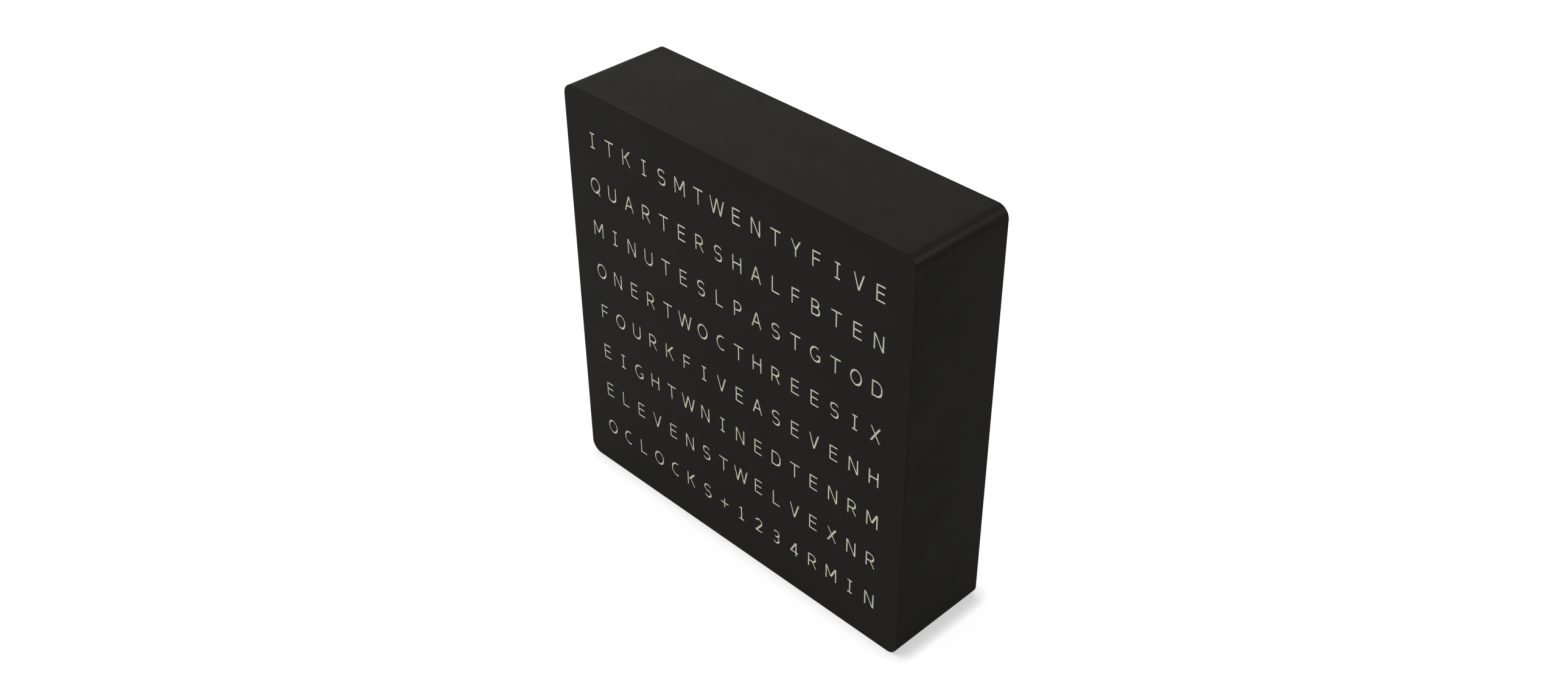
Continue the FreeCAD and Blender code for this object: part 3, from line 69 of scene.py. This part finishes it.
class Material:
    """A node material with short calls for textures, ramps and bumps in row-frame metres."""

    def __init__(self, name):
        self.material = bpy.data.materials.new(name)
        self.material.use_nodes = True
        self.tree = self.material.node_tree
        self.shader = self.tree.nodes["Principled BSDF"]
        self.place = self.node("ShaderNodeTexCoord").outputs["Object"]

    def node(self, kind, **values):
        made = self.tree.nodes.new(kind)
        for key, value in values.items():
            setattr(made, key, value)
        return made

    def link(self, source, target):
        self.tree.links.new(source, target)

    def set(self, **values):
        for key, value in values.items():
            self.shader.inputs[key.replace("_", " ")].default_value = value

    def stretched(self, scale):
        """The place coordinates scaled apart in X, Y and Z."""
        mapping = self.node("ShaderNodeMapping")
        mapping.inputs["Scale"].default_value = scale
        self.link(self.place, mapping.inputs["Vector"])
        return mapping.outputs["Vector"]

    def noise(self, scale, detail=3.0, rough=0.55, at=None):
        """Noise whose features are about 1 / scale metres wide."""
        texture = self.node("ShaderNodeTexNoise")
        texture.inputs["Scale"].default_value = scale
        texture.inputs["Detail"].default_value = detail
        texture.inputs["Roughness"].default_value = rough
        self.link(at or self.place, texture.inputs["Vector"])
        return texture.outputs["Fac"]

    def cells(self, scale):
        texture = self.node("ShaderNodeTexVoronoi")
        texture.inputs["Scale"].default_value = scale
        self.link(self.place, texture.inputs["Vector"])
        return texture.outputs["Distance"]

    def ramp(self, factor, *stops):
        """Colours or greys at places from 0 to 1."""
        ramp = self.node("ShaderNodeValToRGB")
        elements = ramp.color_ramp.elements
        while len(elements) < len(stops):
            elements.new(0.5)
        for element, (place, colour) in zip(elements, stops):
            element.position = place
            element.color = colour if isinstance(colour, tuple) else (colour, colour, colour, 1)
        self.link(factor, ramp.inputs["Fac"])
        return ramp.outputs["Color"]

    def colour(self, factor, low, high, start=0.35, end=0.65):
        shades = self.ramp(factor, (start, linear(low)), (end, linear(high)))
        self.link(shades, self.shader.inputs["Base Color"])

    def rough(self, factor, low, high, start=0.35, end=0.65):
        self.link(self.ramp(factor, (start, low), (end, high)), self.shader.inputs["Roughness"])

    def bump(self, *layers):
        """Bumps stacked from (height, strength, distance in metres)."""
        normal = None
        for height, strength, distance in layers:
            bump = self.node("ShaderNodeBump")
            bump.inputs["Strength"].default_value = strength
            bump.inputs["Distance"].default_value = distance
            self.link(height, bump.inputs["Height"])
            if normal:
                self.link(normal, bump.inputs["Normal"])
            normal = bump.outputs["Normal"]
        self.link(normal, self.shader.inputs["Normal"])


def moulded(name, low, high, rough=(0.5, 0.62), specular=0.25, grain=2600, depth=0.00006, strength=0.35):
    """Moulded plastic with a fine spark-eroded grain and faint broad unevenness."""
    m = Material(name)
    broad = m.noise(22, 4)
    fine = m.noise(grain, 2)
    m.colour(broad, low, high)
    m.rough(m.noise(60, 3), *rough)
    m.bump((fine, strength, depth), (m.noise(grain / 6, 2), 0.06, depth))
    m.set(Specular_IOR_Level=specular)
    return m.material


def film(name):
    """The face's matte film: smooth, with a very fine tooth and a soft broad sheen variation."""
    m = Material(name)
    m.colour(m.noise(16, 3), (27, 26, 23), (29, 28, 25))
    m.rough(m.noise(38, 4), 0.50, 0.55)
    m.bump((m.noise(5200, 1), 0.22, 0.00003))
    m.set(Specular_IOR_Level=0.12)
    return m.material


def film_edge(name):
    """The film's cut edge, darker than its face."""
    m = Material(name)
    m.colour(m.noise(400, 3), (9, 9, 9), (13, 13, 12))
    m.rough(m.noise(900, 2), 0.7, 0.8)
    m.bump((m.noise(6000, 2), 0.2, 0.00002))
    m.set(Specular_IOR_Level=0.05)
    return m.material


def opal(name):
    """The cream light guide: dense opal plastic that lets light wander under its surface, with a faint
    painted glow.
    """
    m = Material(name)
    m.colour(m.noise(90, 3), (231, 228, 215), (239, 236, 225))
    m.rough(m.noise(160, 3), 0.36, 0.46)
    m.bump((m.noise(3200, 2), 0.12, 0.00004))
    m.set(Subsurface_Weight=0.5, Subsurface_Radius=(1.0, 0.96, 0.88), Subsurface_Scale=0.0020)
    # Painted glow: a faint emission brightens the letters, though no lamp lights the guide.
    m.set(Specular_IOR_Level=0.4, Emission_Color=linear((234, 231, 218)), Emission_Strength=0.11)
    return m.material


def solder_resist(name, low, high):
    """A circuit board: glossy resist over tracks that show as faint runs."""
    m = Material(name)
    tracks = m.node("ShaderNodeTexBrick", offset=0.5, squash=1.0)
    tracks.inputs["Scale"].default_value = 160
    tracks.inputs["Mortar Size"].default_value = 0.03
    tracks.inputs["Color1"].default_value = linear(low)
    tracks.inputs["Color2"].default_value = linear(low)
    tracks.inputs["Mortar"].default_value = linear(high)
    flat = m.node("ShaderNodeMapping")
    flat.inputs["Rotation"].default_value = (math.radians(90), 0, 0)
    m.link(m.place, flat.inputs["Vector"])
    m.link(flat.outputs["Vector"], tracks.inputs["Vector"])
    m.link(tracks.outputs["Color"], m.shader.inputs["Base Color"])
    m.rough(m.noise(300, 2), 0.22, 0.34)
    m.bump((tracks.outputs["Fac"], 0.15, 0.00003), (m.noise(1500, 2), 0.08, 0.00003))
    m.set(Coat_Weight=0.35, Coat_Roughness=0.15)
    return m.material


def metal(name, low, high, rough=(0.2, 0.34), lines=(900, 40, 900), depth=0.00002):
    """Metal with fine lines along Y, or an even grain where the three line scales are alike."""
    m = Material(name)
    drawn = m.noise(1.0, 4, 0.6, at=m.stretched(lines))
    m.colour(drawn, low, high)
    m.rough(m.noise(220, 3), *rough)
    m.bump((drawn, 0.25, depth), (m.noise(1800, 2), 0.06, 0.00002))
    m.set(Metallic=1.0)
    return m.material


def insulation(name, low, high):
    """Soft wire insulation with a faint satin gloss."""
    m = Material(name)
    m.colour(m.noise(120, 3), low, high)
    m.rough(m.noise(400, 2), 0.34, 0.46)
    m.bump((m.noise(1400, 2), 0.10, 0.00003))
    m.set(Specular_IOR_Level=0.45)
    return m.material


def led_package(name):
    """The white ceramic-filled body of an LED."""
    m = Material(name)
    m.colour(m.noise(700, 2), (224, 222, 212), (236, 234, 226))
    m.rough(m.noise(900, 2), 0.32, 0.42)
    m.bump((m.noise(3000, 1), 0.08, 0.00002))
    return m.material


def gel(name):
    """The clear window of an LED over its pale phosphor."""
    m = Material(name)
    m.colour(m.cells(1400), (206, 196, 140), (226, 219, 176), 0.2, 0.8)
    m.rough(m.noise(600, 2), 0.06, 0.12)
    m.bump((m.noise(900, 2), 0.05, 0.00003))
    m.set(Coat_Weight=0.8, Coat_Roughness=0.04, Subsurface_Weight=0.2, Subsurface_Scale=0.0008)
    return m.material


BLACK_CASE = moulded("case_plastic", (22, 21, 17), (24, 23, 19), rough=(0.46, 0.52), specular=0.08)
BLACK_COVER = moulded(
    "cover_plastic", (30, 29, 27), (34, 33, 31), specular=0.16, grain=1900, strength=0.45
)
BLACK_INNER = moulded("inner_plastic", (26, 26, 26), (31, 31, 30), rough=(0.6, 0.72), specular=0.18)
FILM = film("face_film_black")
FILM_EDGE = film_edge("film_edge_black")
OPAL_PAINTED_GLOW = opal("guide_opal_painted_glow")
STRIP = solder_resist("strip_white_resist", (226, 226, 222), (206, 205, 198))
BOARD = solder_resist("board_green_resist", (18, 62, 42), (34, 92, 60))
MODULE = solder_resist("module_blue_resist", (16, 34, 66), (28, 56, 96))
STEEL = metal("bright_steel", (150, 151, 153), (182, 183, 184))
BLACK_STEEL = metal("blackened_steel", (78, 78, 80), (98, 98, 99), rough=(0.30, 0.42))
SPRING = metal("spring_steel", (170, 171, 173), (200, 200, 200), lines=(300, 300, 300))
BRASS = metal("bright_brass", (186, 150, 82), (214, 182, 112))
GOLD = metal("gold_flash", (214, 176, 92), (232, 200, 124), rough=(0.16, 0.26))
SOLDER = metal("solder", (176, 178, 182), (206, 208, 210), rough=(0.24, 0.4), lines=(400, 400, 400))
CAP_PLASTIC = moulded(
    "button_cap_plastic", (62, 62, 64), (70, 70, 72), rough=(0.26, 0.36), specular=0.45, depth=0.00003
)
BODY_PLASTIC = moulded(
    "button_body_plastic", (20, 20, 21), (26, 26, 27), rough=(0.34, 0.44), specular=0.45
)
CHIP = moulded("chip_moulding", (24, 24, 25), (30, 30, 31), rough=(0.5, 0.6), specular=0.4, grain=4200)
TERMINAL = moulded("terminal_blue", (22, 66, 132), (30, 78, 150), rough=(0.3, 0.4), specular=0.45)
SLEEVE = moulded(
    "capacitor_sleeve", (20, 26, 52), (28, 34, 66), rough=(0.2, 0.3), specular=0.5, depth=0.00002
)
CERAMIC = moulded("ceramic_tan", (150, 122, 88), (168, 140, 104), rough=(0.35, 0.45))
RED = insulation("wire_red", (158, 26, 22), (176, 34, 28))
BLACK_WIRE = insulation("wire_black", (22, 22, 23), (30, 30, 31))
GREEN = insulation("wire_green", (30, 108, 56), (38, 124, 66))
YELLOW = insulation("wire_yellow", (196, 160, 34), (212, 176, 48))
BLUE = insulation("wire_blue", (28, 68, 146), (38, 82, 164))
WHITE_WIRE = insulation("wire_white", (212, 211, 204), (226, 225, 219))
LED_BODY = led_package("led_package_white")
GEL = gel("led_window_gel")

LOOKS = {
    "case_shell": BLACK_CASE,
    "face_film": FILM,
    "film_islands": FILM,
    "letter_guide": OPAL_PAINTED_GLOW,
    "baffle_grid": BLACK_INNER,
    "led_carrier": BLACK_INNER,
    "rear_cover": BLACK_COVER,
    "cover_screws": BLACK_STEEL,
    "carrier_screws": STEEL,
    "board_screws": STEEL,
    "threaded_inserts": BRASS,
    "controller_board": BOARD,
    "power_board": BOARD,
    "radio_module": MODULE,
    "radio_shield": STEEL,
    "programming_socket": STEEL,
    "pin_headers": CHIP,
    "key_switches": CHIP,
    "level_shifter": CHIP,
    "smoothing_capacitor": SLEEVE,
    "supply_terminal": TERMINAL,
    "strip_terminal": TERMINAL,
    "supply_socket": BODY_PLASTIC,
    "socket_pin": BRASS,
    "socket_nut": STEEL,
    "socket_tabs": BRASS,
    "button_bases": BODY_PLASTIC,
    "button_nuts": STEEL,
}
for row in range(1, ROWS + 1):
    LOOKS[f"led_strip_{row}"] = STRIP
    LOOKS[f"leds_{row}"] = LED_BODY
for button in BUTTONS:
    LOOKS[f"{button}_button_body"] = BODY_PLASTIC
    LOOKS[f"{button}_button_cap"] = CAP_PLASTIC
    LOOKS[f"{button}_button_spring"] = SPRING


def dress(node, materials):
    """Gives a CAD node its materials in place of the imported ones."""
    mesh = NODES[node].data
    mesh.materials.clear()
    for material in materials:
        mesh.materials.append(material)


def loose_pieces(mesh):
    """Polygons of each separate solid in a node, with the solid's corner points."""
    points = [tuple(round(c * 1e6) for c in v.co) for v in mesh.vertices]
    parent = {p: p for p in points}

    def root(p):
        while parent[p] != p:
            parent[p] = parent[parent[p]]
            p = parent[p]
        return p

    for polygon in mesh.polygons:
        first = root(points[polygon.vertices[0]])
        for v in polygon.vertices:
            parent[root(points[v])] = first
    groups = {}
    for polygon in mesh.polygons:
        groups.setdefault(root(points[polygon.vertices[0]]), []).append(polygon)
    for polygons in groups.values():
        corners = [mesh.vertices[v].co for polygon in polygons for v in polygon.vertices]
        yield polygons, corners


def paint_solids(node, materials, choose):
    """Colours each separate solid of a node: choose gives its material's number from its corners."""
    dress(node, materials)
    for polygons, corners in loose_pieces(NODES[node].data):
        number = choose(corners)
        for polygon in polygons:
            polygon.material_index = number


def paint_where(node, materials, choose):
    """Colours each polygon of a node by its centre and normal."""
    dress(node, materials)
    for polygon in NODES[node].data.polygons:
        polygon.material_index = choose(polygon.center, polygon.normal)


for name, material in LOOKS.items():
    dress(name, [material])


# Wires in their colours, and pieces that show two materials


# Places and steps that tell the wires apart
RED_LINK_REACH = 0.0851
GREEN_LINK_REACH = 0.0836
LOWEST_FEED_Z = 0.0165
BLACK_SUPPLY_REACH = 0.074
FIRST_SIGNAL_X = -0.0302
PIN_PITCH = 0.00254
LAST_SIGNAL = 2
FIRST_BUTTON_X = -0.076
BUTTON_STEP = 0.016
TAB_SPREAD = 0.004
BUTTON_TAB_X = [
    FIRST_BUTTON_X + number * BUTTON_STEP + side * TAB_SPREAD / 2
    for number in range(len(BUTTONS))
    for side in (-1, 1)
]

# Depths at which a piece changes material, from its front or its rear
PAD_FRONT = 0.00005
HEADER_MOULDING = 0.00255
LEG_HEIGHT = 0.00099
CAN_TOP = 0.0002
KEY_FRAME = 0.00165

# The Y part of a normal, below which a polygon of the film faces the front
FACES_FRONT = -0.5


def link_colour(corners):
    """A jumper's colour by how far out it runs."""
    reach = max(abs(corner.x) for corner in corners)
    if reach > RED_LINK_REACH:
        return 0
    return 1 if reach > GREEN_LINK_REACH else 2


def feed_colour(corners):
    """A strip lead's colour by the pad that it starts from."""
    return round((min(corner.z for corner in corners) - LOWEST_FEED_Z) / PAD_PITCH)


def supply_colour(corners):
    """A supply lead's colour by how far to the right it reaches."""
    return int(max(corner.x for corner in corners) > BLACK_SUPPLY_REACH)


def signal_colour(corners):
    """A signal lead's colour by the header pin that it starts from."""
    pin = (FIRST_SIGNAL_X - min(corner.x for corner in corners)) / PIN_PITCH
    return min(LAST_SIGNAL, max(0, round(pin)))


def button_colour(corners):
    """A button lead's colour by the tab that it starts from."""
    start = min(corners, key=lambda corner: corner.z).x
    return min(range(len(BUTTON_TAB_X)), key=lambda tab: abs(BUTTON_TAB_X[tab] - start))


def paint_before(node, materials, limit):
    """Gives the second material to the polygons whose centres lie in front of a limit in Y."""
    paint_where(node, materials, lambda centre, normal: int(centre.y < limit))


def paint_two_materials():
    """Film with dark cut edges, gold pads and pins, and the can's, keys' and chip's metal."""
    for node in ("face_film", "film_islands"):
        paint_where(node, [FILM, FILM_EDGE], lambda centre, normal: int(normal.y > FACES_FRONT))
    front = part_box("led_strip_1")[0].y
    for row in range(1, ROWS + 1):
        paint_before(f"led_strip_{row}", [STRIP, GOLD], front + PAD_FRONT)
    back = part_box("pin_headers")[1].y
    paint_before("pin_headers", [CHIP, GOLD], back - HEADER_MOULDING)
    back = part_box("level_shifter")[1].y
    legs = back - LEG_HEIGHT
    paint_where("level_shifter", [CHIP, GOLD], lambda centre, normal: int(centre.y > legs))
    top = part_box("smoothing_capacitor")[0].y
    paint_before("smoothing_capacitor", [SLEEVE, STEEL], top + CAN_TOP)
    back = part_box("key_switches")[1].y
    paint_before("key_switches", [STEEL, CHIP], back - KEY_FRAME)


paint_solids("strip_links", [RED, GREEN, BLACK_WIRE], link_colour)
paint_solids("strip_leads", [RED, GREEN, BLACK_WIRE], feed_colour)
paint_solids("supply_leads", [RED, BLACK_WIRE], supply_colour)
paint_solids("signal_leads", [RED, YELLOW, BLUE], signal_colour)
paint_solids(
    "button_leads", [WHITE_WIRE, BLACK_WIRE, YELLOW, BLACK_WIRE, BLUE, BLACK_WIRE], button_colour
)
paint_two_materials()


# Detail pieces, modelled in the row frame


def mesh_object(name, vertices, faces, material, smooth=False):
    mesh = bpy.data.meshes.new(name)
    mesh.from_pydata(vertices, [], faces)
    mesh.update()
    for polygon in mesh.polygons:
        polygon.use_smooth = smooth
    mesh.materials.append(material)
    made = bpy.data.objects.new(name, mesh)
    bpy.context.scene.collection.objects.link(made)
    return made


class Shapes:
    """Collects many small forms into one mesh."""

    def __init__(self):
        self.vertices, self.faces = [], []

    def loops(self, rings, cap_first=True, cap_last=True):
        """Skins a stack of rings that have the same count of points."""
        count = len(rings[0])
        base = len(self.vertices)
        for ring in rings:
            self.vertices.extend(ring)
        for level in range(len(rings) - 1):
            for i in range(count):
                a = base + level * count + i
                b = base + level * count + (i + 1) % count
                self.faces.append((a, b, b + count, a + count))
        if cap_first:
            self.faces.append(tuple(base + i for i in reversed(range(count))))
        if cap_last:
            last = base + (len(rings) - 1) * count
            self.faces.append(tuple(last + i for i in range(count)))

    def pad(self, centre, across, up, height, ease=0.00008):
        """A low block that stands toward -Y from its centre, with eased upper edges."""
        x, y, z = centre
        rings = []
        for inset, out in ((0, 0), (0, height - ease), (ease, height)):
            w, h = across / 2 - inset, up / 2 - inset
            corners = [(-w, -h), (w, -h), (w, h), (-w, h)]
            rings.append([(x + dx, y - out, z + dz) for dx, dz in corners])
        self.loops(rings)

    def dome(self, centre, radius, height, sides=20, levels=3):
        """A shallow dome toward -Y."""
        x, y, z = centre
        rings = []
        for level in range(levels + 1):
            angle = math.pi / 2 * level / (levels + 1)
            r, out = radius * math.cos(angle), height * math.sin(angle)
            ring = []
            for i in range(sides):
                turn = 2 * math.pi * i / sides
                ring.append((x + r * math.cos(turn), y - out, z + r * math.sin(turn)))
            rings.append(ring)
        self.loops(rings)

    def make(self, name, material, smooth=False):
        made = mesh_object(name, self.vertices, self.faces, material, smooth)
        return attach(made, BODY)


STRIP_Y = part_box("led_strip_1")[0].y + PAD_THICK

# Blocks as across, up and height, the cut-line pads with their eased edge too
CUT_PAD = (0.0018, 0.0015, 0.00004, 0.00001)
STRIP_CAPACITOR = (0.0007, 0.0008, 0.0005)
STRIP_CAPACITOR_END = (0.0007, 0.0003, 0.00052)
SMALL_PART = (0.0012, 0.0009, 0.0005)
SMALL_PART_END = (0.0003, 0.0009, 0.00052)

# Domes as radius and height, two of them with their sides and levels too
WINDOW = (0.00188, 0.00022)
BOARD_DOT = (0.0006, 0.0001, 14, 2)
JOINT = (0.00075, 0.0006, 14, 3)

# A strip's capacitor from its LED, and ends from the middle of their part
CAPACITOR_ASIDE = 0.0034
CAPACITOR_BELOW = 0.0036
CAPACITOR_END_STEP = 0.0005
SMALL_PART_END_STEP = 0.00075

# A window's base: as deep as the LED's recess, and a little into its floor so that no gap shows
WINDOW_DEPTH = 0.0003
WINDOW_SINK = 0.00002

# Solder dots from the middle of a board, as shares of its width
BOARD_DOT_PLACES = (-0.4, 0.4)


def strip_details():
    """Solder pads at every cut line, a small capacitor beside each LED, and each LED's gel window."""
    pads, parts, ends, windows = Shapes(), Shapes(), Shapes(), Shapes()
    window_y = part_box("leds_1")[0].y + WINDOW_DEPTH
    for row in range(ROWS):
        z = FIRST_Z + row * ROW_PITCH
        for column in range(1, COLUMNS):
            x = FIRST_X + (column - 0.5) * PITCH
            for step in (-1, 0, 1):
                pads.pad((x, STRIP_Y, z + step * PAD_PITCH), *CUT_PAD)
        for column in range(COLUMNS):
            x = FIRST_X + column * PITCH
            part_x, part_z = x - CAPACITOR_ASIDE, z - CAPACITOR_BELOW
            parts.pad((part_x, STRIP_Y, part_z), *STRIP_CAPACITOR)
            for side in (-1, 1):
                end_z = part_z + side * CAPACITOR_END_STEP
                ends.pad((part_x, STRIP_Y, end_z), *STRIP_CAPACITOR_END)
            windows.dome((x, window_y + WINDOW_SINK, z), *WINDOW)
    pads.make("strip_pads", GOLD)
    parts.make("strip_capacitors", CERAMIC)
    ends.make("strip_capacitor_ends", SOLDER)
    windows.make("led_windows", GEL, smooth=True)


# Small parts on the boards, from each board's centre, in millimetres
SMALL_PARTS = {
    "controller_board": [
        (16, 2), (16, -2), (19, 8.2), (19, -8.2), (13, 8.6), (8, 9.8), (8, -9.8), (12.5, 0),
    ],
    "power_board": [
        (-8, 12), (-8, -12), (-4, 14), (-4, -14), (2, 13), (2, -13), (8, 12), (8, -10), (-22, -12),
    ],
}


def board_details():
    """Small surface-mounted parts on both boards, placed in the gaps between the CAD parts."""
    chips, ends, marks = Shapes(), Shapes(), Shapes()
    for node, spots in SMALL_PARTS.items():
        low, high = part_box(node)
        middle = (low + high) / 2
        for dx, dz in spots:
            x, z = middle.x + dx / 1000, middle.z + dz / 1000
            chips.pad((x, low.y, z), *SMALL_PART)
            for side in (-1, 1):
                ends.pad((x + side * SMALL_PART_END_STEP, low.y, z), *SMALL_PART_END)
        for share in BOARD_DOT_PLACES:
            spot = (middle.x + share * (high.x - low.x), low.y, middle.z)
            marks.dome(spot, *BOARD_DOT)
    chips.make("board_small_parts", CHIP)
    ends.make("board_small_part_ends", SOLDER)
    marks.make("board_solder_dots", SOLDER, smooth=True)


def solder_joints():
    """Solder where wires meet the strips' end pads. The last strip's far end has no wires."""
    joints = Shapes()
    for row in range(ROWS):
        z = FIRST_Z + row * ROW_PITCH
        for side in (-1, 1):
            if row == ROWS - 1 and side == 1:
                continue
            for step in (-1, 0, 1):
                spot = (side * PAD_X, STRIP_Y - PAD_THICK, z + step * PAD_PITCH)
                joints.dome(spot, *JOINT)
    joints.make("strip_solder_joints", SOLDER, smooth=True)


def squash_springs():
    """Gives each button's spring a mesh of its own."""
    for button in BUTTONS:
        node = f"{button}_button_spring"
        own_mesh(NODES[node])


strip_details()
board_details()
solder_joints()
squash_springs()


# Floor, light and camera


FLOOR_HALF = 12.0
FLOOR_DROP = 0.0002
# Reach and lean of the floor's painted contact shadow
PAINTED_SHADOW_REACH = 0.007
PAINTED_SHADOW_LEAN = (-0.62, -0.42, 0.66)
BRIGHT_SKY = (-0.62, -0.45, 0.64)
SKY_SWING = 0.62
SKY_MIDDLE = 0.74


def make_floor():
    """A floor that glows white to the camera, dimmed by a painted shadow close to the clock, and is grey
    to other rays.
    """
    half = FLOOR_HALF
    corners = [(-half, -half, 0), (half, -half, 0), (half, half, 0), (-half, half, 0)]
    m = Material("floor_white")
    seen = m.node("ShaderNodeLightPath").outputs["Is Camera Ray"]
    m.link(m.ramp(m.noise(0.8, 2), (0.3, 0.44), (0.7, 0.46)), m.shader.inputs["Base Color"])
    m.set(Roughness=1.0, Specular_IOR_Level=0.0)
    lit = m.node("ShaderNodeBsdfDiffuse")
    lit.inputs["Color"].default_value = (0.14, 0.14, 0.14, 1)
    # Painted shadow: occlusion leaning toward the light dims the floor's glow beside the clock.
    painted_shadow = m.node("ShaderNodeAmbientOcclusion", samples=16)
    painted_shadow.inputs["Distance"].default_value = PAINTED_SHADOW_REACH
    toward_light = m.node("ShaderNodeCombineXYZ")
    for axis, part in zip("XYZ", PAINTED_SHADOW_LEAN):
        toward_light.inputs[axis].default_value = part
    m.link(toward_light.outputs["Vector"], painted_shadow.inputs["Normal"])
    white = m.node("ShaderNodeEmission")
    m.link(m.ramp(painted_shadow.outputs["AO"], (0.45, 0.55), (1.0, 0.90)), white.inputs["Strength"])
    both = m.node("ShaderNodeAddShader")
    m.link(lit.outputs["BSDF"], both.inputs[0])
    m.link(white.outputs["Emission"], both.inputs[1])
    mix = m.node("ShaderNodeMixShader")
    m.link(seen, mix.inputs[0])
    m.link(m.shader.outputs["BSDF"], mix.inputs[1])
    m.link(both.outputs["Shader"], mix.inputs[2])
    m.link(mix.outputs["Shader"], m.tree.nodes["Material Output"].inputs["Surface"])
    floor = mesh_object("floor", corners, [(0, 1, 2, 3)], m.material)
    floor.location.z = -FLOOR_DROP


def make_world():
    """Soft light from everywhere, most from the front left and above. White to the camera."""
    world = bpy.data.worlds.new("studio")
    bpy.context.scene.world = world
    world.use_nodes = True
    tree = world.node_tree
    tree.nodes.clear()
    output = tree.nodes.new("ShaderNodeOutputWorld")
    light = tree.nodes.new("ShaderNodeBackground")
    white = tree.nodes.new("ShaderNodeBackground")
    white.inputs["Color"].default_value = (1, 1, 1, 1)
    mix = tree.nodes.new("ShaderNodeMixShader")
    seen = tree.nodes.new("ShaderNodeLightPath")
    direction = tree.nodes.new("ShaderNodeTexCoord").outputs["Generated"]
    dot = tree.nodes.new("ShaderNodeVectorMath")
    dot.operation = "DOT_PRODUCT"
    dot.inputs[1].default_value = Vector(BRIGHT_SKY).normalized()
    tree.links.new(direction, dot.inputs[0])
    level = tree.nodes.new("ShaderNodeMath")
    level.operation = "MULTIPLY_ADD"
    level.inputs[1].default_value = SKY_SWING
    level.inputs[2].default_value = SKY_MIDDLE
    tree.links.new(dot.outputs["Value"], level.inputs[0])
    tree.links.new(level.outputs["Value"], light.inputs["Strength"])
    tree.links.new(seen.outputs["Is Camera Ray"], mix.inputs[0])
    tree.links.new(light.outputs["Background"], mix.inputs[1])
    tree.links.new(white.outputs["Background"], mix.inputs[2])
    tree.links.new(mix.outputs["Shader"], output.inputs["Surface"])


def softbox(name, place, aim, size, energy):
    lamp = bpy.data.lights.new(name, "AREA")
    lamp.shape = "RECTANGLE"
    lamp.size, lamp.size_y = size
    lamp.energy = energy
    made = bpy.data.objects.new(name, lamp)
    made.location = place
    made.rotation_euler = (Vector(aim) - Vector(place)).to_track_quat("-Z", "Y").to_euler()
    bpy.context.scene.collection.objects.link(made)


def make_camera():
    camera = bpy.data.cameras.new("camera")
    camera.sensor_fit = "HORIZONTAL"
    camera.sensor_width = 36.0
    camera.lens = 38.8
    camera.clip_end = 50
    made = bpy.data.objects.new("camera", camera)
    made.location = (0.3834, -0.3776, 0.4732)
    made.rotation_euler = (math.radians(54.7356), 0, math.radians(45))
    bpy.context.scene.collection.objects.link(made)
    bpy.context.scene.camera = made


make_floor()
make_world()
softbox("softbox_left", place=(-1.1, -0.9, 1.5), aim=(0, 0, 0.09), size=(1.2, 1.2), energy=9)
softbox(
    "softbox_edge", place=(1.24, 1.48, 1.33), aim=(0.088, 0, 0.178), size=(0.25, 0.6), energy=14
)
make_camera()
bpy.context.scene.view_settings.view_transform = "Standard"
